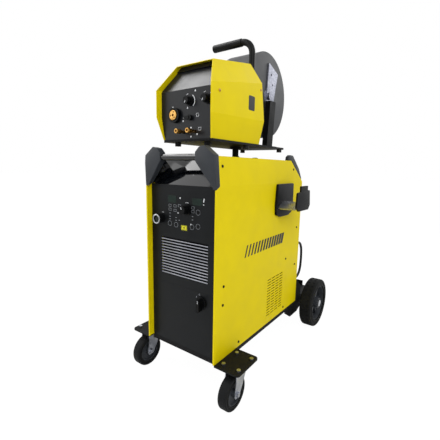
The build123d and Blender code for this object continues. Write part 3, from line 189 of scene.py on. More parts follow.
# Fine-textured black powder coat on the running gear: dull, with a slight sparkle.
BLACK = Finish("black_texture_coat", "#0c0d0e", "#090a0b", Pattern.GRIT, 1.6, 0.12, 0.55, specular=0.12)
# Silk-screened graphite front panels: smooth, so that they catch a broad grey sheen.
GRAPHITE = Finish("graphite_panel_coat", "#141618", "#111315", Pattern.PEEL, 1.8, 0.03, 0.4, specular=0.12)
# The feeder's panels have a glossier film, so that their upper slope mirrors the light above it.
SHEEN = Finish("feeder_panel_film", "#15171b", "#121417", Pattern.PEEL, 1.8, 0.02, 0.34, specular=0.2)
# Moulded ABS of the horns and wheels: fine leather-like grain that greys its highlights.
GREY_ABS = Finish("grey_moulded_abs", "#2e3136", "#282b2f", Pattern.GRIT, 1.4, 0.1, 0.45)
BLACK_ABS = Finish("black_moulded_abs", "#0a0b0c", "#08090a", Pattern.GRIT, 1.2, 0.08, 0.42, specular=0.12)
# Spool cover: thermoformed polystyrene, slightly lighter than the horns.
SPOOL_GREY = Finish("grey_formed_sheet", "#292b2f", "#242629", Pattern.GRIT, 1.8, 0.06, 0.42, specular=0.25)
# Lacquered tube and hard film: deep black with a sharp highlight.
GLOSS = Finish("gloss_black_film", "#05070a", "#040508", Pattern.PEEL, 9.0, 0.01, 0.07, 0.03,
               specular=0.5)
# Aluminium-zinc noses of the louvres, made light grey as a painted highlight for the lit edges of the sheet.
LOUVRE_NOSE_HIGHLIGHT = Finish("louvre_metal_painted_highlight", "#a3a5ad", "#8a8c94", Pattern.BRUSH, 0.9, 0.03, 0.36, metallic=0.4,
              draw=(0.05, 1.0, 1.0))
# Painted shade on the blades behind the noses: the same sheet, coloured black for the shade between the slats.
LOUVRE_PAINTED_SHADE = Finish("louvre_blade_painted_shade", "#0a0a0c", "#070708", Pattern.PEEL, 2.0, 0.03, 0.5, specular=0.12)
# Tinted display window: dark bottle green behind a polished face.
WINDOW = Finish("green_display_window", "#0e241c", "#0a1b15", Pattern.PEEL, 14.0, 0.005, 0.12, 0.02,
                specular=0.4)
# Solid rubber tyres: matt, dusty where they roll.
TYRE = Finish("dark_tyre_rubber", "#161717", "#101111", Pattern.GRIT, 2.2, 0.2, 0.72, 0.08, blotch_mm=28.0,
              specular=0.12)
SOFT_TREAD = Finish("grey_tread_rubber", "#151617", "#101112", Pattern.GRIT, 1.8, 0.12, 0.6, 0.08,
                    specular=0.12, blotch_mm=20.0)
RUBBER = Finish("black_foot_rubber", "#121213", "#0d0d0e", Pattern.GRIT, 1.5, 0.1, 0.66)
CABLE = Finish("black_cable_sheath", "#141415", "#0e0e0f", Pattern.BRUSH, 4.0, 0.05, 0.5)
# Zinc-plated pressings: pale grey, with drawn streaks and a soft shine.
ZINC = Finish("zinc_plated_steel", "#b7bac1", "#989ba3", Pattern.BRUSH, 1.6, 0.04, 0.34, 0.1, 1.0,
              blotch_mm=18.0, draw=(1.0, 0.15, 1.0))
# Galvanised bracket: crystals of zinc a few millimetres across.
GALVANISED = Finish("galvanised_sheet", "#9799a5", "#777985", Pattern.SPANGLE, 7.0, 0.02, 0.4, 0.1, 0.85)
STEEL = Finish("turned_bright_steel", "#c4c6c9", "#a5a7ab", Pattern.BRUSH, 0.8, 0.03, 0.28, 0.06, 1.0,
               draw=(1.0, 0.1, 1.0))
BRASS = Finish("turned_brass", "#cda25c", "#a57a3c", Pattern.BRUSH, 0.8, 0.02, 0.3, 0.08, 1.0, blotch_mm=12.0)
ALUMINIUM = Finish("cast_aluminium", "#a6a8ab", "#8c8e92", Pattern.GRIT, 1.4, 0.08, 0.45, 0.08, 0.9)
# Varnished laminations: brown edges of thin sheets, one over the other.
CORE = Finish("varnished_laminations", "#5a4433", "#38291f", Pattern.STACK, 1.6, 0.2, 0.45)
ENAMEL = Finish("dark_motor_enamel", "#303236", "#27292c", Pattern.PEEL, 3.0, 0.05, 0.35)
# Copper-coated welding wire, laid turn by turn; the darker tint in the grooves between turns is painted shade.
WIRE = Finish("copper_coated_wire", "#c07a4a", "#6d3c22", Pattern.TURNS, 1.6, 0.5, 0.3, 0.05, 1.0)
# Screen-printed legends: flat white ink, hardly raised.
INK = Finish("white_screen_ink", "#dfe1e4", "#cfd2d6", Pattern.PEEL, 1.5, 0.01, 0.5)
DIM_INK = Finish("grey_screen_ink", "#8f9398", "#83878c", Pattern.PEEL, 1.5, 0.01, 0.5)
YELLOW_INK = Finish("yellow_screen_ink", "#d8d226", "#ccc61f", Pattern.PEEL, 1.5, 0.01, 0.45)
BLACK_INK = Finish("black_decal_film", "#0a0908", "#070605", Pattern.PEEL, 2.0, 0.01, 0.4)
RED = Finish("red_collar_plastic", "#a8382e", "#942f26", Pattern.GRIT, 1.2, 0.05, 0.4)
BLUE = Finish("blue_collar_plastic", "#20242c", "#191c22", Pattern.GRIT, 1.2, 0.05, 0.4)

BY_SLOT = {
    "yellow_paint": YELLOW, "black_paint": BLACK, "grey_panel": GRAPHITE, "grey_plastic": GREY_ABS,
    "black_plastic": BLACK_ABS, "gloss_black": GLOSS, "louvre_metal": LOUVRE_NOSE_HIGHLIGHT, "display": WINDOW,
    "rubber": RUBBER, "tyre": TYRE, "caster_tyre": SOFT_TREAD, "zinc": ZINC, "steel": STEEL,
    "brass": BRASS, "core": CORE, "cable": CABLE, "spool": BLACK_ABS, "motor": ENAMEL,
    "aluminium": ALUMINIUM,
}
BY_NODE = {"feeder_panels": SHEEN, "spool_cover_left": SPOOL_GREY, "spool_cover_right": SPOOL_GREY,
           "spool_bracket": GALVANISED}


# ------------------------------------------------------------------ workbench
class Axis(Enum):
    """Direction that a round piece is laid along, as the turn of an upright cylinder."""

    X = (0.0, pi / 2, 0.0)
    Y = (pi / 2, 0.0, 0.0)
    Z = (0.0, 0.0, 0.0)


def facing(x: float, y: float, z: float) -> Test:
    """Test for faces that look one way."""
    way = Vector((x, y, z))
    return lambda _centre, normal: normal.dot(way) > 0.97


def inset(width: float, one_by_one: bool = False) -> Move:
    """Move that insets the picked faces."""
    return lambda: bpy.ops.mesh.inset(thickness=width, depth=0, use_individual=one_by_one)


def push(x: float = 0.0, y: float = 0.0, z: float = 0.0) -> Move:
    """Move that extrudes the picked faces by a distance."""
    return lambda: bpy.ops.mesh.extrude_region_move(TRANSFORM_OT_translate={"value": (x, y, z)})


def swell(height: float) -> Move:
    """Move that extrudes each picked face along its own normal."""
    def move() -> None:
        """Extrudes, then moves the new faces out."""
        bpy.ops.mesh.extrude_faces_move(TRANSFORM_OT_shrink_fatten={"value": height})
    return move


def bevel(width: float, steps: int = 2) -> Move:
    """Move that rounds the picked edges."""
    return lambda: bpy.ops.mesh.bevel(offset=width, segments=steps, affect="EDGES", clamp_overlap=True)


class Bench:
    """The moves by which every new piece is made."""

    @staticmethod
    def take(*pieces: Piece) -> None:
        """Selects these pieces and nothing else."""
        bpy.ops.object.select_all(action="DESELECT")
        for piece in pieces:
            piece.select_set(True)
            bpy.context.view_layer.objects.active = piece

    @staticmethod
    def settle(piece: Piece, name: str) -> Piece:
        """Names a piece and puts its place into its mesh."""
        piece.name = name
        Bench.take(piece)
        bpy.ops.object.transform_apply(location=True, rotation=True, scale=True)
        return piece

    @staticmethod
    def rod(name: str, radius: float, centre: Vector, length: float, axis: Axis, sides: int = 48) -> Piece:
        """Adds a cylinder.

        Args:
            name: Name of the piece.
            radius: Radius in metres.
            centre: Middle of the cylinder.
            length: Length along the axis.
            axis: Direction it lies along.
            sides: Number of sides.

        Returns:
            The new piece.
        """
        Bench.take()
        bpy.ops.mesh.primitive_cylinder_add(vertices=sides, radius=radius, depth=length, location=centre,
                                            rotation=axis.value)
        return Bench.settle(bpy.context.object, name)

    @staticmethod
    def block(name: str, low: Sequence[float], high: Sequence[float]) -> Piece:
        """Adds a box between two corners."""
        Bench.take()
        middle = (Vector(low) + Vector(high)) / 2
        bpy.ops.mesh.primitive_cube_add(size=1, location=middle, scale=Vector(high) - Vector(low))
        return Bench.settle(bpy.context.object, name)

    @staticmethod
    def shape(piece: Piece, wanted: Test, *moves: Move, edges: bool = False) -> Piece:
        """Picks faces or edges by their place and direction, and works on them in edit mode.

        Args:
            piece: Piece to work on.
            wanted: Test on a face's centre and normal, or an edge's middle and direction.
            *moves: Edit-mode moves, in order.
            edges: True to pick edges.

        Returns:
            The same piece.
        """
        Bench.take(piece)
        bpy.ops.object.mode_set(mode="EDIT")
        bpy.ops.mesh.select_mode(type="EDGE" if edges else "FACE")
        bpy.ops.mesh.select_all(action="DESELECT")
        mesh = bmesh.from_edit_mesh(piece.data)
        mesh.normal_update()
        if edges:
            for edge in mesh.edges:
                start, end = (corner.co for corner in edge.verts)
                edge.select_set(wanted((start + end) / 2, (end - start).normalized()))
        else:
            for face in mesh.faces:
                face.select_set(wanted(face.calc_center_median(), face.normal))
        bmesh.update_edit_mesh(piece.data)
        for move in moves:
            move()
        bpy.ops.object.mode_set(mode="OBJECT")
        return piece

    @staticmethod
    def modify(piece: Piece, kind: str, **settings: object) -> Piece:
        """Adds a modifier and applies it."""
        Bench.take(piece)
        modifier = piece.modifiers.new(kind.lower(), kind)
        for name, value in settings.items():
            setattr(modifier, name, value)
        bpy.ops.object.modifier_apply(modifier=modifier.name)
        return piece

    @staticmethod
    def cut(piece: Piece, cutters: Iterable[Piece]) -> Piece:
        """Cuts one piece with others, which are used up."""
        for cutter in cutters:
            Bench.modify(piece, "BOOLEAN", operation="DIFFERENCE", object=cutter, solver="EXACT")
            bpy.data.objects.remove(cutter)
        return piece

    @staticmethod
    def copy(piece: Piece, name: str, place: Matrix) -> Piece:
        """Copies a piece with its own mesh, moved by a matrix."""
        twin = piece.copy()
        twin.data = piece.data.copy()
        twin.name = name
        bpy.context.scene.collection.objects.link(twin)
        twin.data.transform(place)
        if place.determinant() < 0:
            twin.data.flip_normals()
        return twin

    @staticmethod
    def join(name: str, pieces: Sequence[Piece]) -> Piece:
        """Joins pieces into one."""
        Bench.take(*pieces)
        bpy.ops.object.join()
        joined = bpy.context.object
        joined.name = name
        return joined

    @staticmethod
    def fit(piece: Piece, body: str, slot: str, finish: Finish, stands_for: Sequence[str] = (),
            angle: float = 35.0) -> Piece:
        """Smooths and dresses a finished piece, and seats it on its body.

        Args:
            piece: Finished piece.
            body: CAD body that it moves with.
            slot: Material slot of the record; not used.
            finish: Its finish.
            stands_for: CAD nodes that it replaces.
            angle: Edges sharper than this stay sharp, in degrees.

        Returns:
            The same piece.
        """
        Bench.take(piece)
        bpy.ops.object.shade_smooth_by_angle(angle=radians(angle))
        piece.data.materials.clear()
        piece.data.materials.append(finish.material())
        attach(piece, body)
        if stands_for:
            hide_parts(*stands_for)
        LOG.info("%s: %d faces on %s", piece.name, len(piece.data.polygons), body)
        return piece


def middle(node: str) -> Vector:
    """Centre of a CAD node's box."""
    low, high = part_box(node)
    return (low + high) / 2


def merged_copy(node: str, name: str) -> Piece:
    """Copies a CAD node's mesh and merges its loose triangles."""
    source = frame["nodes"][node]
    twin = bpy.data.objects.new(name, source.data.copy())
    bpy.context.scene.collection.objects.link(twin)
    return Bench.shape(twin, lambda _centre, _normal: True,
                       lambda: bpy.ops.mesh.remove_doubles(threshold=0.01 * MM),
                       lambda: bpy.ops.mesh.dissolve_limited(angle_limit=radians(1.0)))


def islands(node: str) -> list[tuple[Vector, Vector]]:
    """Finds the separate solids of a CAD node.

    Args:
        node: Name of the CAD node.

    Returns:
        Lowest and highest corner of each solid.
    """
    mesh = bmesh.new()
    mesh.from_mesh(frame["nodes"][node].data)
    bmesh.ops.remove_doubles(mesh, verts=mesh.verts, dist=0.01 * MM)
    left, found = set(mesh.verts), []
    while left:
        reached = [left.pop()]
        corners = []
        while reached:
            corner = reached.pop()
            corners.append(corner.co.copy())
            for edge in corner.link_edges:
                other = edge.other_vert(corner)
                if other in left:
                    left.remove(other)
                    reached.append(other)
        found.append((Vector([min(c[i] for c in corners) for i in range(3)]),
                      Vector([max(c[i] for c in corners) for i in range(3)])))
    mesh.free()
    return sorted(found, key=lambda pair: tuple(round(v, 5) for v in pair[0]))


# ------------------------------------------------------------------ CAD nodes
class Livery:
    """Finishes of the CAD nodes, by the record's material slots."""

    def dress(self) -> None:
        """Gives every CAD node its finish."""
        for part in frame["record"]["subparts"]:
            node = frame["nodes"][part["node"]]
            finish = BY_NODE.get(part["node"], BY_SLOT[part["material_slot"]])
            node.data.materials.clear()
            node.data.materials.append(finish.material())

    def soften(self) -> None:
        """Replaces the moulded pieces by copies whose edges are rounded."""
        rounded = (("front_horns", "cart", "grey_plastic", GREY_ABS, 3.0),
                   ("rear_horns", "cart", "grey_plastic", GREY_ABS, 3.0),
                   ("cable_hanger", "cart", "black_plastic", BLACK_ABS, 1.5),
                   ("gloss_panel", "cart", "gloss_black", GLOSS, 0.5))
        for node, body, slot, finish, width in rounded:
            piece = merged_copy(node, f"{node}_moulding")
            Bench.modify(piece, "BEVEL", width=width * MM, segments=3, limit_method="ANGLE",
                         angle_limit=radians(28), harden_normals=False)
            Bench.fit(piece, body, slot, finish, (node,))


# ------------------------------------------------------------------ wheels
@dataclass
class Wheel:
    """Wheel about X: a moulded tyre with its tread, and a hub."""

    side: str
    kind: str
    body: str
    tyre_slot: str
    tyre_finish: Finish
    hub_slot: str
    hub_finish: Finish
    shoulder: float
    sides: int
    blocks: bool
    spokes: int
    spoke_width: float = 16 * MM
    reach: float = 50 * MM

    def build(self) -> None:
        """Builds the tyre and the hub in the places of their CAD nodes."""
        self.tyre()
        self.hub()

    def tyre(self) -> Piece:
        """Builds the tyre: round shoulders, a raised sidewall ring and tread grooves."""
        node, hub = f"{self.kind}_tyre_{self.side}", f"{self.kind}_hub_{self.side}"
        low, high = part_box(node)
        centre, radius, width = middle(node), (high.z - low.z) / 2, high.x - low.x
        rim = (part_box(hub)[1].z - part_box(hub)[0].z) / 2
        tyre = Bench.rod(f"{node}_rubber", radius, centre, width, Axis.X, self.sides)
        for way in (-1, 1):
            face = facing(way, 0, 0)
            wall = radius - self.shoulder - rim
            Bench.shape(tyre, face, inset(self.shoulder), inset(wall * 0.25), push(-way * 1.5 * MM),
                        inset(wall * 0.3), push(way * 1.5 * MM), inset(wall * 0.45))
        outer = radius - 0.5 * MM

        def rolls(spot: Vector, way: Vector) -> bool:
            """Tells the edges between the tread and the sidewalls."""
            off = hypot(spot.y - centre.y, spot.z - centre.z)
            at_side = abs(abs(spot.x - centre.x) - width / 2) < MM
            return at_side and off > outer - radius * 0.003 and abs(way.x) < 0.1

        Bench.shape(tyre, rolls, bevel(self.shoulder * 0.92, 4), edges=True)
        if self.blocks:
            for share in (-0.3, -0.1, 0.1, 0.3):
                cut = Vector((centre.x + share * width, centre.y, centre.z))
                Bench.shape(tyre, lambda _c, _n: True,
                            lambda cut=cut: bpy.ops.mesh.bisect(plane_co=cut, plane_no=(1, 0, 0)))

            def groove(spot: Vector, normal: Vector) -> bool:
                """Tells the faces that are sunk between tread blocks."""
                off = hypot(spot.y - centre.y, spot.z - centre.z)
                band = abs(spot.x - centre.x) / width
                step = round((atan2(spot.z - centre.z, spot.y - centre.y) + pi) / (2 * pi) * self.sides - 0.5)
                return off > radius * 0.98 and abs(normal.x) < 0.1 and 0.1 < band < 0.3 and step % 3 == 0

            Bench.shape(tyre, groove, inset(0.4 * MM), swell(-2.5 * MM))
        bore = Bench.rod("rim_bore", rim, centre, width * 1.2, Axis.X, self.sides)
        Bench.cut(tyre, [bore])
        return Bench.fit(tyre, self.body, self.tyre_slot, self.tyre_finish, (node,))

    def hub(self) -> Piece:
        """Builds the hub: rim, dished web with its openings, and boss."""
        node = f"{self.kind}_hub_{self.side}"
        low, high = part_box(node)
        centre, radius, boss = middle(node), (high.z - low.z) / 2, high.x - low.x
        rim_width = boss * 0.76
        hub = Bench.rod(f"{node}_moulding", radius, centre, rim_width, Axis.X, 72)
        boss_radius = radius * 0.26
        web = rim_width / 2 - 7 * MM
        for way in (-1, 1):
            face = facing(way, 0, 0)
            ring = radius - boss_radius - 8 * MM
            rise = web + (boss - rim_width) / 2
            Bench.shape(hub, face, inset(5 * MM), push(-way * web), inset(ring), push(way * rise),
                        inset(4 * MM), push(-way * 1.5 * MM))
        bore = 10.06 * MM if self.kind == "rear" else 5.06 * MM
        cutters = [Bench.rod("axle_bore", bore, centre, boss * 2, Axis.X, 32)]
        if self.spokes:
            cutters.append(self.gaps(centre, boss_radius, radius))
        Bench.cut(hub, cutters)
        Bench.modify(hub, "BEVEL", width=0.8 * MM, segments=2, limit_method="ANGLE", angle_limit=radians(40))
        return Bench.fit(hub, self.body, self.hub_slot, self.hub_finish, (node,))

    def gaps(self, centre: Vector, inner: float, outer: float) -> Piece:
        """Makes the cutter for the openings between the spokes.

        Args:
            centre: Middle of the hub.
            inner: Radius of the boss.
            outer: Radius of the rim.

        Returns:
            Ring between boss and rim, parted where each spoke stays.
        """
        margin, half = 2 * MM, self.spoke_width / 2
        cutter = Bench.rod("openings", outer - 7 * MM, centre, 2 * self.reach, Axis.X, 72)
        stays = [Bench.rod("boss", inner + margin, centre, 3 * self.reach, Axis.X, 36)]
        for index in range(self.spokes):
            spoke = Bench.block("spoke", (-1.5 * self.reach, 0, -half), (1.5 * self.reach, 1.2 * outer, half))
            turn = Matrix.Rotation(radians(360 / self.spokes * index), 4, "X")
            spoke.data.transform(Matrix.Translation(centre) @ turn)
            stays.append(spoke)
        return Bench.cut(cutter, stays)


# ------------------------------------------------------------------ screws
@dataclass
class Screws:
    """Pan-head screws with a cross recess, one model copied to every place."""

    radius: float = 5.0 * MM
    height: float = 2.4 * MM
    lean: float = 8.0 / 96.0

    def model(self) -> Piece:
        """Builds one head at the origin, looking along +X."""
        head = Bench.rod("screw_model", self.radius, Vector((self.height / 2, 0, 0)), self.height, Axis.X, 20)
        Bench.shape(head, lambda spot, way: spot.x > self.height * 0.9 and abs(way.x) < 0.1,
                    bevel(1.3 * MM, 3), edges=True)
        arm, wide = self.radius * 0.55, self.radius * 0.13
        cross = [Bench.block("recess", (self.height * 0.4, -arm, -wide), (self.height * 2, arm, wide)),
                 Bench.block("recess", (self.height * 0.4, -wide, -arm), (self.height * 2, wide, arm))]
        return Bench.cut(head, cross)

    def build(self) -> None:
        """Places the screws of the case and of the feeder."""
        model = self.model()
        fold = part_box("front_horns")[0].z + 10 * MM
        for node, body, slot, finish in (("case_screws", "cart", "black_plastic", BLACK_ABS),
                                         ("feeder_screws", "feeder", "black_plastic", BRASS)):
            heads = []
            for low, high in islands(node):
                way = 1 if (low.x + high.x) > 0 else -1
                spot = (low + high) / 2
                spot.x = (high.x if way > 0 else low.x) - way * self.height
                lean = self.lean if node == "case_screws" and spot.z > fold else 0.0
                spot.x -= way * lean * self.radius
                place = Matrix.Translation(spot) @ Matrix.Rotation(-lean * way, 4, "Y")
                if way < 0:
                    place = place @ Matrix.Rotation(pi, 4, "Z")
                heads.append(Bench.copy(model, "head", place))
            Bench.fit(Bench.join(f"{node}_heads", heads), body, slot, finish, (node,))
        bpy.data.objects.remove(model)


# ------------------------------------------------------------------ controls
@dataclass
class Knob:
    """Fluted knob with its white pointer, turning about Y."""

    node: str
    flutes: int = 18
    pointer: float = 0.0

    def build(self) -> None:
        """Builds the knob: skirt, fluted grip, recessed cap and pointer."""
        low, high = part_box(self.node)
        centre = middle(self.node)
        radius = (high.x - low.x) / 2
        length = 24 * MM if radius < 17 * MM else 30 * MM
        skirt = 7 * MM
        start = low.y + length - skirt / 2
        knob = Bench.rod(f"{self.node}_grip", radius, Vector((centre.x, start, centre.z)), skirt, Axis.Y,
                         self.flutes * 2)
        front = facing(0, -1, 0)
        Bench.shape(knob, front, inset(radius * 0.16), push(y=-MM), inset(radius * 0.06),
                    push(y=-(length - skirt - 2.5 * MM)), inset(radius * 0.07), push(y=-1.5 * MM + 0.5 * MM),
                    inset(radius * 0.12), push(y=0.5 * MM))

        def flute(spot: Vector, normal: Vector) -> bool:
            """Tells every second face round the grip."""
            step = round((atan2(spot.z - centre.z, spot.x - centre.x) + pi) / (2 * pi) * self.flutes * 2 - 0.5)
            return abs(normal.y) < 0.1 and low.y + 2 * MM < spot.y < start - skirt / 2 - MM and step % 2 == 0

        Bench.shape(knob, flute, inset(0.3 * MM, True), swell(-0.9 * MM))
        Bench.fit(knob, self.node, "black_plastic", BLACK_ABS, (self.node,), 30)
        half, reach = 0.9 * MM, radius * 0.62
        line = Bench.block(f"{self.node}_pointer", (-half, -0.4 * MM, 0.2 * reach), (half, 0.3 * MM, reach))
        line.data.transform(Matrix.Translation((centre.x, low.y + 0.9 * MM, centre.z))
                            @ Matrix.Rotation(radians(self.pointer), 4, "Y"))
        Bench.shape(line, lambda _spot, way: abs(way.y) > 0.9, bevel(0.4 * MM, 2), edges=True)
        Bench.fit(line, self.node, "black_plastic", INK)


@dataclass
class MainSwitch:
    """Rotary switch: a round escutcheon and a pointed handle."""

    disc_radius: float = 22 * MM

    def build(self) -> None:
        """Builds the switch in the place of its CAD node."""
        low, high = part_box("main_switch")
        centre_x = (low.x + high.x) / 2
        centre_z = low.z + 30 * MM
        back = low.y + 24 * MM
        disc = Bench.rod("switch_disc", self.disc_radius, Vector((centre_x, back - 3 * MM, centre_z)), 6 * MM,
                         Axis.Y, 48)
        Bench.shape(disc, facing(0, -1, 0), inset(3 * MM), push(y=1.5 * MM))
        Bench.modify(disc, "BEVEL", width=0.8 * MM, segments=2, limit_method="ANGLE", angle_limit=radians(40))
        handle = Bench.block("switch_handle", (centre_x - 6 * MM, low.y, low.z),
                             (centre_x + 6 * MM, back - 4 * MM, high.z - 6 * MM))
        Bench.shape(handle, lambda _spot, way: abs(way.y) > 0.9, bevel(4.5 * MM, 4), edges=True)
        Bench.shape(handle, facing(0, -1, 0), inset(1.2 * MM), push(y=0.6 * MM))
        switch = Bench.join("main_switch_moulding", [disc, handle])
        Bench.fit(switch, "main_switch", "black_plastic", BLACK_ABS, ("main_switch",))
        line = Bench.block("main_switch_pointer", (centre_x - 0.8 * MM, low.y + 0.2 * MM, centre_z + 2 * MM),
                           (centre_x + 0.8 * MM, low.y + 0.9 * MM, high.z - 8 * MM))
        Bench.shape(line, lambda _spot, way: abs(way.y) > 0.9, bevel(0.4 * MM, 2), edges=True)
        Bench.fit(line, "main_switch", "black_plastic", INK)


# ------------------------------------------------------------------ sockets
class Sockets:
    """Torch socket, coolant couplings and the remote control's socket."""

    def build(self) -> None:
        """Builds every socket in its own materials."""
        self.torch()
        self.couplings()
        self.remote()

    def torch(self) -> None:
        """Brass body with its bores, in a black ring with grip ribs."""
        solids = sorted(islands("torch_socket"), key=lambda pair: pair[1].x - pair[0].x)
        (low, high), (ring_low, ring_high) = solids
        centre = (low + high) / 2
        body_radius, length = (high.x - low.x) / 2, high.y - low.y
        body = Bench.rod("torch_socket_body", body_radius, centre, length, Axis.Y, 40)
        bores = [Bench.rod("bore", 4.5 * MM, Vector((centre.x, low.y + 24 * MM, centre.z)), 52 * MM, Axis.Y, 24)]
        off = body_radius * 0.65
        for turn in (70, 190, 310):
            spot = Vector((centre.x + off * cos(radians(turn)), low.y + 5 * MM, centre.z + off * sin(radians(turn))))
            bores.append(Bench.rod("contact", 2.2 * MM, spot, 16 * MM, Axis.Y, 12))
        Bench.cut(body, bores)
        Bench.modify(body, "BEVEL", width=0.5 * MM, segments=2, limit_method="ANGLE", angle_limit=radians(40))
        Bench.fit(body, "feeder", "brass", BRASS, ("torch_socket",))
        ring_radius, ring_length = (ring_high.x - ring_low.x) / 2, ring_high.y - ring_low.y
        ring = Bench.rod("torch_socket_ring", ring_radius, (ring_low + ring_high) / 2, ring_length, Axis.Y, 48)
        Bench.shape(ring, facing(0, -1, 0), inset(2 * MM), inset(3 * MM), push(y=3 * MM))

        def rib(spot: Vector, normal: Vector) -> bool:
            """Tells every third face round the ring."""
            step = round((atan2(spot.z - centre.z, spot.x - centre.x) + pi) / (2 * pi) * 48 - 0.5)
            off = hypot(spot.x - centre.x, spot.z - centre.z)
            return abs(normal.y) < 0.1 and off > ring_radius - MM and step % 3 == 0

        Bench.shape(ring, rib, inset(0.3 * MM, True), swell(-0.8 * MM))
        Bench.cut(ring, [Bench.rod("seat", body_radius + 0.02 * MM, centre, 120 * MM, Axis.Y, 40)])
        Bench.fit(ring, "feeder", "brass", BLACK_ABS)

    def couplings(self) -> None:
        """Brass noses with stepped collars, one dark and one red."""
        low, _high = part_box("coolant_couplers")
        parts = islands("coolant_couplers")
        noses = [pair for pair in parts if pair[0].y < low.y + MM]
        collars = [pair for pair in parts if pair[0].y >= low.y + MM]
        made = []
        for start, end in noses:
            spot = (start + end) / 2
            nose = Bench.rod("nose", 8 * MM, Vector((spot.x, start.y + 10 * MM, spot.z)), 20 * MM, Axis.Y, 32)
            Bench.shape(nose, facing(0, 1, 0), inset(2.5 * MM), push(y=end.y - start.y - 20 * MM))
            Bench.cut(nose, [Bench.rod("bore", 4 * MM, Vector((spot.x, start.y + 8 * MM, spot.z)), 20 * MM, Axis.Y, 24)])
            made.append(Bench.modify(nose, "BEVEL", width=0.7 * MM, segments=2, limit_method="ANGLE",
                                     angle_limit=radians(40)))
        Bench.fit(Bench.join("coolant_noses", made), "feeder", "brass", BRASS, ("coolant_couplers",))
        for (start, end), finish, name in zip(collars, (BLUE, RED), ("coolant_collar_return", "coolant_collar_supply")):
            spot = (start + end) / 2
            collar = Bench.rod(name, 10.5 * MM, spot, end.y - start.y, Axis.Y, 36)
            Bench.shape(collar, facing(0, -1, 0), inset(3 * MM), push(y=2 * MM))
            Bench.cut(collar, [Bench.rod("seat", 5.5 * MM, spot, 60 * MM, Axis.Y, 24)])
            Bench.modify(collar, "BEVEL", width=0.6 * MM, segments=2, limit_method="ANGLE", angle_limit=radians(40))
            Bench.fit(collar, "feeder", "brass", finish)

    def remote(self) -> None:
        """Black shell with a metal nut at its mouth, and a dark insert with its contact holes."""
        low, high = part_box("remote_socket")
        centre = middle("remote_socket")
        radius, face, nut = (high.x - low.x) / 2, low.y, 5 * MM
        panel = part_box("front_panel")[0].y
        shell = Bench.rod("remote_socket_shell", radius - 0.8 * MM,
                          Vector((centre.x, (face + nut + panel) / 2, centre.z)), panel - face - nut, Axis.Y, 48)
        Bench.shape(shell, facing(0, -1, 0), inset(4 * MM), push(y=16 * MM))
        Bench.fit(shell, "cart", "black_plastic", BLACK_ABS, ("remote_socket",))
        ring = Bench.rod("remote_socket_nut", radius, Vector((centre.x, face + nut / 2, centre.z)), nut, Axis.Y, 48)
        Bench.cut(ring, [Bench.rod("mouth", radius - 4.8 * MM, centre, 120 * MM, Axis.Y, 48)])
        Bench.modify(ring, "BEVEL", width=0.8 * MM, segments=2, limit_method="ANGLE", angle_limit=radians(40))
        Bench.fit(ring, "cart", "steel", STEEL)
        insert = Bench.rod("remote_socket_insert", 10 * MM, Vector((centre.x, face + 14 * MM, centre.z)), 16 * MM,
                           Axis.Y, 32)
        holes = []
        for turn in (30, 150, 270):
            across, up = 5 * MM * cos(radians(turn)), 5 * MM * sin(radians(turn))
            spot = Vector((centre.x + across, face + 6 * MM, centre.z + up))
            holes.append(Bench.rod("contact", 1.4 * MM, spot, 8 * MM, Axis.Y, 12))
        Bench.cut(insert, holes)
        Bench.fit(insert, "cart", "steel", WINDOW)


# ------------------------------------------------------------------ air
@dataclass
class Air:
    """Louvres of the front panel, and black pans of painted shade behind the side vents."""

    nose: float = 4.0 * MM
    vent_y: tuple[float, float] = (377 * MM, 527 * MM)
    vent_z: tuple[float, float] = (192 * MM, 357 * MM)

    def build(self) -> None:
        """Builds the louvres and both pans of painted shade."""
        self.louvres()
        self.vent_shade_pans()

    def louvres(self) -> None:
        """Gives each slat a rolled nose painted light as a highlight, with its blade behind it painted black as shade.
        """
        noses, blades = [], []
        for low, high in islands("louvres"):
            radius, width = self.nose / 2, high.x - low.x
            spot = Vector(((low.x + high.x) / 2, low.y + radius, low.z + radius))
            nose = Bench.rod("nose", radius, spot, width, Axis.X, 16)
            noses.append(Bench.shape(nose, lambda _c, way: abs(way.x) < 0.1, bevel(0.5 * MM, 1), edges=True))
            rise, run = high.z - low.z - self.nose, high.y - low.y - radius
            blade = Bench.block("blade", (low.x, 0, -0.6 * MM), (high.x, hypot(rise, run), 0.6 * MM))
            Bench.shape(blade, facing(0, 1, 0), push(y=-2 * MM, z=MM))
            blade.data.transform(Matrix.Translation((0, spot.y, spot.z)) @ Matrix.Rotation(atan2(rise, run), 4, "X"))
            blades.append(blade)
        # The noses carry a painted highlight and the blades painted shade, both on one and the same sheet.
        Bench.fit(Bench.join("louvre_noses_painted_highlight", noses), "cart", "louvre_metal", LOUVRE_NOSE_HIGHLIGHT, ("louvres",))
        Bench.fit(Bench.join("louvre_blades_painted_shade", blades), "cart", "black_paint", LOUVRE_PAINTED_SHADE)

    def vent_shade_pans(self) -> None:
        """Lays a shallow black pan behind the vent slots of each cover, as painted shade for the dark inside."""
        for side, way in (("left", -1), ("right", 1)):
            low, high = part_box(f"case_cover_{side}")
            face = (high.x if way > 0 else -low.x) - 2.6 * MM
            near, far = sorted((way * (face - 3 * MM), way * face))
            margin = 5 * MM
            pan = Bench.block(f"vent_shade_pan_{side}", (near, low.y + self.vent_y[0] - margin, self.vent_z[0] - margin),
                              (far, low.y + self.vent_y[1] + margin, self.vent_z[1] + margin))
            Bench.shape(pan, facing(way, 0, 0), inset(3 * MM), push(x=-way * 2 * MM))
            # The black pan is painted shade seen through the slots.
            Bench.fit(pan, "cart", "black_paint", BLACK)


# ------------------------------------------------------------------ printing
class Mark(Enum):
    """Kinds of printed mark."""

    BAR = "filled bar"
    FRAME = "outlined box"
    RING = "outlined circle"
    DOT = "filled circle"
    WEDGE = "filled triangle"


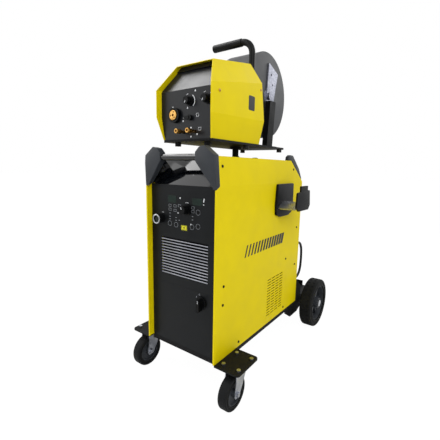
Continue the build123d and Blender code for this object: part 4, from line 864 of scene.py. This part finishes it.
@dataclass
class Print:
    """Marks printed on a face that looks along -Y or leans back from it."""

    face: float
    bend: float = 1e9
    slope: float = 0.0
    raise_by: float = 0.25 * MM

    def stand(self, z: float) -> float:
        """Depth of the printed face at a height."""
        return self.face + max(0.0, z - self.bend) * self.slope

    def mark(self, kind: Mark, x: float, z: float, wide: float, high: float, turn: float = 0.0) -> Piece:
        """Makes one flat mark.

        Args:
            kind: Kind of mark.
            x: Middle, in millimetres.
            z: Middle, in millimetres.
            wide: Width, in millimetres.
            high: Height, in millimetres.
            turn: Turn in the face, in degrees.

        Returns:
            Flat mesh on the face.
        """
        Bench.take()
        if kind in (Mark.BAR, Mark.FRAME):
            bpy.ops.mesh.primitive_plane_add(size=1)
        else:
            sides = 3 if kind is Mark.WEDGE else 20
            bpy.ops.mesh.primitive_circle_add(vertices=sides, radius=0.5, fill_type="NGON")
        piece = bpy.context.object
        piece.scale = (wide * MM, high * MM, 1)
        Bench.settle(piece, "mark")
        if kind in (Mark.FRAME, Mark.RING):
            line = 0.9 * MM
            Bench.shape(piece, lambda _spot, _normal: True, inset(line), lambda: bpy.ops.mesh.delete(type="FACE"))
        lean = 0.0 if z * MM <= self.bend else atan2(self.slope, 1.0)
        place = (Matrix.Translation((x * MM, self.stand(z * MM), z * MM)) @ Matrix.Rotation(-lean, 4, "X")
                 @ Matrix.Rotation(pi / 2, 4, "X") @ Matrix.Rotation(radians(turn), 4, "Z"))
        piece.data.transform(place)
        return piece

    def arc(self, x: float, z: float, radius: float, start: float, end: float, thick: float) -> Piece:
        """Makes a flat arc by spinning one edge about a knob's middle, angles from +X towards +Z."""
        Bench.take()
        bpy.ops.mesh.primitive_plane_add(size=thick * MM)
        piece = Bench.settle(bpy.context.object, "arc")
        half = thick * MM / 2
        Bench.shape(piece, lambda spot, _way: spot.y > half * 0.5,
                    lambda: bpy.ops.mesh.delete(type="EDGE"), edges=True)
        Bench.shape(piece, lambda spot, _way: spot.y > -half * 0.5,
                    lambda: bpy.ops.mesh.delete(type="EDGE"), edges=True)
        piece.data.transform(Matrix.Translation((x * MM, self.stand(z * MM), z * MM))
                             @ Matrix.Rotation(-radians(start), 4, "Y")
                             @ Matrix.Translation((radius * MM, half, 0)))
        centre = (x * MM, self.stand(z * MM), z * MM)
        steps = max(6, int(abs(end - start) / 6))
        Bench.shape(piece, lambda _spot, _way: True,
                    lambda: bpy.ops.mesh.spin(steps=steps, angle=radians(end - start), center=centre, axis=(0, 1, 0)),
                    edges=True)
        return piece

    def lay(self, name: str, marks: Sequence[Piece], body: str, finish: Finish) -> Piece:
        """Joins marks, gives them their thickness and seats them."""
        print_ = Bench.join(name, marks)
        Bench.shape(print_, lambda _spot, _normal: True,
                    lambda: bpy.ops.mesh.remove_doubles(threshold=0.001 * MM),
                    lambda: bpy.ops.mesh.normals_make_consistent(inside=False))
        for face in print_.data.polygons:
            if face.normal.y > 0:
                face.flip()
        Bench.modify(print_, "SOLIDIFY", thickness=2 * self.raise_by, offset=0.0)
        return Bench.fit(print_, body, "grey_panel", finish)


class Legends:
    """Printing on the power source's and the feeder's front panels."""

    def build(self) -> None:
        """Prints both panels."""
        self.power_source()
        self.feeder()

    def power_source(self) -> None:
        """Icons beside the knob, pilot lamps, scale marks and a plain badge."""
        panel = Print(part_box("front_panel")[0].y)
        knob = middle("setting_knob") / MM
        white = [panel.arc(knob.x, knob.z, 24, 75, 112, 1.6), panel.mark(Mark.BAR, -102, 662, 9, 1.8),
                 panel.mark(Mark.WEDGE, -16, 720, 9, 9, 90), panel.mark(Mark.BAR, 92, 719, 4, 13, -12),
                 panel.mark(Mark.DOT, 91, 704, 4, 4), panel.mark(Mark.DOT, -26, 666, 5, 5),
                 panel.mark(Mark.DOT, 35, 631, 5, 5)]
        panel.lay("panel_marks", white, "cart", INK)
        dim = []
        for x, z in ((-66, 690), (-66, 676), (-41, 690), (-41, 674), (-19, 692), (44, 690), (44, 677)):
            dim.append(panel.mark(Mark.FRAME, x, z, 13, 9))
        for x, z in ((-67, 624), (-36, 622), (67, 676), (67, 627), (40, 622)):
            dim.append(panel.mark(Mark.RING, x, z, 19, 19))
        for x, z in ((-66, 662), (-66, 650), (-66, 640), (-36, 648), (-36, 638), (42, 660), (42, 648), (-20, 640)):
            dim.append(panel.mark(Mark.BAR, x, z, 6, 2))
        panel.lay("panel_icons", dim, "cart", DIM_INK)
        badge = [panel.mark(Mark.BAR, 3, 615, 27, 17)]
        panel.lay("panel_badge", badge, "cart", YELLOW_INK)
        over = Print(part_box("front_panel")[0].y - 0.3 * MM, raise_by=0.1 * MM)
        border = [over.mark(Mark.FRAME, 3, 615, 24, 14), over.mark(Mark.DOT, 3, 615, 7, 6)]
        over.lay("panel_badge_border", border, "cart", BLACK_INK)
        lower = Print(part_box("lower_panel")[0].y)
        states = [lower.mark(Mark.RING, 76, 384, 5, 7), lower.mark(Mark.BAR, 62, 372, 1.6, 6)]
        lower.lay("switch_marks", states, "cart", DIM_INK)

    def feeder(self) -> None:
        """Scales round the knobs, the selector's marks and dots beside the sockets."""
        panel = Print(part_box("feeder_panels")[0].y)
        white = []
        for x in (middle(f"feeder_knob_{side}").x / MM for side in ("left", "right")):
            white += [panel.arc(x, 1047, 21, -50, 60, 2.6), panel.mark(Mark.BAR, x - 26, 1052, 11, 1.6),
                      panel.mark(Mark.BAR, x - 12, 1070, 8, 1.6, 25)]
        for x, z in ((-64, 1033), (-16, 984), (20, 960), (20, 931), (47, 938), (4, 1026), (38, 1078)):
            white.append(panel.mark(Mark.DOT, x, z, 6, 6))
        white += [panel.mark(Mark.FRAME, 48, 1000, 10, 12, 15), panel.mark(Mark.BAR, -12, 994, 8, 1.6),
                  panel.mark(Mark.FRAME, 58, 955, 12, 10)]
        panel.lay("feeder_marks", white, "feeder", INK)


@dataclass
class SideMarks:
    """Plain slanted bars on the case and a blank label on the feeder, in black film."""

    case_bars: int = 14

    def bar(self, x: float, y: float, z: float, wide: float, high: float, lean: float) -> Piece:
        """Makes one bar on a face that looks along +X, sizes in millimetres."""
        Bench.take()
        bpy.ops.mesh.primitive_plane_add(size=1, rotation=(0, pi / 2, 0), location=(0, 0, 0))
        piece = bpy.context.object
        Bench.settle(piece, "bar")
        piece.data.transform(Matrix.Diagonal((1, wide * MM, high * MM, 1)))
        slant = Matrix.Identity(4)
        slant[1][2] = lean
        piece.data.transform(Matrix.Translation((x, y, z)) @ slant)
        return piece

    def lay(self, name: str, bars: Sequence[Piece], body: str) -> None:
        """Joins the bars and gives the film its thickness."""
        film = Bench.join(name, bars)
        Bench.modify(film, "SOLIDIFY", thickness=0.4 * MM, offset=0.0)
        Bench.fit(film, body, "yellow_paint", BLACK_INK)

    def build(self) -> None:
        """Lays the bars on the case and the label on the feeder."""
        low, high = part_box("case_cover_right")
        side = high.x
        start, end = low.y + 181 * MM, low.y + 513 * MM
        pitch = (end - start) / self.case_bars
        bars = [self.bar(side, start + pitch * (index + 0.5), 522 * MM, 9 + index * 0.9, 46, 0.35)
                for index in range(self.case_bars)]
        self.lay("case_stripes", bars, "cart")
        f_low, f_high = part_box("feeder_cover")
        side = f_high.x
        label = self.bar(side, f_low.y + 247 * MM, 1066 * MM, 44, 52, 0.0)
        Bench.modify(label, "BEVEL", width=6 * MM, segments=4, affect="VERTICES")
        self.lay("feeder_label", [label], "feeder")


# ------------------------------------------------------------------ spool
class Winding:
    """Welding wire on the spool."""

    def build(self) -> None:
        """Builds the wound wire as a ring with shallow layers."""
        low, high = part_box("wire_spool")
        centre = middle("wire_spool")
        length = high.x - low.x - 8 * MM
        ring = Bench.rod("wire_winding", 138.2 * MM, centre, length - 0.4 * MM, Axis.X, 96)
        for share in range(1, 12):
            cut = Vector((centre.x - length / 2 + share * length / 12, 0, 0))
            Bench.shape(ring, lambda _c, _n: True,
                        lambda cut=cut: bpy.ops.mesh.bisect(plane_co=cut, plane_no=(1, 0, 0)))
        Bench.cut(ring, [Bench.rod("barrel", 95.5 * MM, centre, length * 2, Axis.X, 72)])
        Bench.fit(ring, "wire_spool", "spool", WIRE)


# ------------------------------------------------------------------ studio
@dataclass(frozen=True)
class Lamp:
    """Soft rectangular lamp aimed at the object."""

    name: str
    place: tuple[float, float, float]
    size: float
    watts: float
    aim: tuple[float, float, float] = (0.0, 0.0, 0.7)


@dataclass
class Studio:
    """Pale floor, white surroundings, soft lamps and the camera, whose place is from the covers' front."""

    place: tuple[float, float, float] = (0.75774, -0.80242, 0.82895)
    azimuth: float = 35.83
    dip: float = 9.34
    roll: float = 1.07
    lens: float = 26.10
    lamps: tuple[Lamp, ...] = (
        Lamp("key_lamp", (2.6, -2.0, 3.0), 2.4, 70.0),
        Lamp("fill_lamp", (-2.4, -2.4, 1.8), 2.4, 24.0),
        Lamp("rear_lamp", (0.8, 3.0, 2.6), 2.0, 26.0),
        Lamp("panel_softbox", (-1.33, -1.34, 2.24), 0.45, 4.5, (0.0, -0.4, 0.82)),
        Lamp("slope_softbox", (-1.27, -0.41, 2.68), 1.0, 28.0, (0.0, -0.35, 1.13)),
    )

    def build(self) -> None:
        """Builds the whole studio."""
        self.floor()
        self.surroundings()
        for lamp in self.lamps:
            self.light(lamp)
        self.camera()
        bpy.context.scene.view_settings.view_transform = "Standard"

    def floor(self) -> None:
        """White floor that keeps a soft shadow."""
        Bench.take()
        bpy.ops.mesh.primitive_plane_add(size=60)
        floor = bpy.context.object
        floor.name = "floor"
        made = bpy.data.materials.new("pale_floor")
        made.use_nodes = True
        tree = made.node_tree
        tree.nodes.clear()
        path = add(tree, "ShaderNodeLightPath")
        matt = add(tree, "ShaderNodeBsdfDiffuse", {"Color": linear("#f4f4f4")})
        glow = add(tree, "ShaderNodeEmission", {"Color": (1, 1, 1, 1), "Strength": 1.05})
        share = add(tree, "ShaderNodeMath", {1: 0.93}, {0: path.outputs["Is Camera Ray"]}, operation="MULTIPLY")
        mixed = add(tree, "ShaderNodeMixShader", links={0: share.outputs[0], 1: matt.outputs[0], 2: glow.outputs[0]})
        add(tree, "ShaderNodeOutputMaterial", links={"Surface": mixed.outputs[0]})
        floor.data.materials.append(made)

    def surroundings(self) -> None:
        """White for what the camera and gloss see, and a plain level for matt surfaces."""
        world = bpy.data.worlds.new("white_room")
        bpy.context.scene.world = world
        world.use_nodes = True
        tree = world.node_tree
        tree.nodes.clear()
        path = add(tree, "ShaderNodeLightPath")
        seen = add(tree, "ShaderNodeMath", links={0: path.outputs["Is Camera Ray"], 1: path.outputs["Is Glossy Ray"]},
                   operation="MAXIMUM")
        seen = add(tree, "ShaderNodeMath", links={0: seen.outputs[0], 1: path.outputs["Is Transmission Ray"]},
                   operation="MAXIMUM")
        level = add(tree, "ShaderNodeMapRange", {"To Min": 0.55, "To Max": 1.0}, {"Value": seen.outputs[0]})
        back = add(tree, "ShaderNodeBackground", {"Color": (1, 1, 1, 1)}, {"Strength": level.outputs["Result"]})
        add(tree, "ShaderNodeOutputWorld", links={"Surface": back.outputs[0]})

    def light(self, lamp: Lamp) -> None:
        """Adds one lamp."""
        data = bpy.data.lights.new(lamp.name, "AREA")
        data.size, data.energy = lamp.size, lamp.watts
        light = bpy.data.objects.new(lamp.name, data)
        bpy.context.scene.collection.objects.link(light)
        light.location = lamp.place
        light.rotation_euler = (Vector(lamp.aim) - Vector(lamp.place)).to_track_quat("-Z", "Y").to_euler()

    def camera(self) -> None:
        """Places the camera."""
        data = bpy.data.cameras.new("camera")
        data.lens, data.sensor_width = self.lens, 36.0
        camera = bpy.data.objects.new("camera", data)
        bpy.context.scene.collection.objects.link(camera)
        turn, dip, roll = radians(self.azimuth), radians(self.dip), radians(self.roll)
        back = Vector((sin(turn) * cos(dip), -cos(turn) * cos(dip), sin(dip)))
        right = (-back).cross(Vector((0, 0, 1))).normalized()
        up = right.cross(-back)
        level, raised = right * cos(roll) + up * sin(roll), up * cos(roll) - right * sin(roll)
        place = Matrix((level, raised, back)).transposed().to_4x4()
        place.translation = Vector(self.place) + Vector((0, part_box("case_cover_right")[0].y, 0))
        camera.matrix_world = place
        bpy.context.scene.camera = camera


# ------------------------------------------------------------------ all of it
def wheels() -> list[Wheel]:
    """Lists the four wheels."""
    found = []
    for side in ("left", "right"):
        found.append(Wheel(side, "rear", f"rear_wheel_{side}", "tyre", TYRE, "grey_plastic", GREY_ABS,
                           10 * MM, 90, True, 6))
        found.append(Wheel(side, "caster", f"caster_wheel_{side}", "caster_tyre", SOFT_TREAD, "grey_plastic", GREY_ABS,
                           7 * MM, 72, False, 0))
    return found


def main() -> None:
    """Builds every sub-assembly in order."""
    logging.basicConfig(level=logging.INFO, format="%(name)s %(message)s")
    livery = Livery()
    livery.dress()
    livery.soften()
    for wheel in wheels():
        wheel.build()
    Screws().build()
    Knob("setting_knob", 18, -25).build()
    Knob("feeder_knob_left", 14, -150).build()
    Knob("feeder_knob_right", 14, -150).build()
    MainSwitch().build()
    Sockets().build()
    Legends().build()
    Air().build()
    SideMarks().build()
    Winding().build()
    Studio().build()


if __name__ == "__main__":
    main()
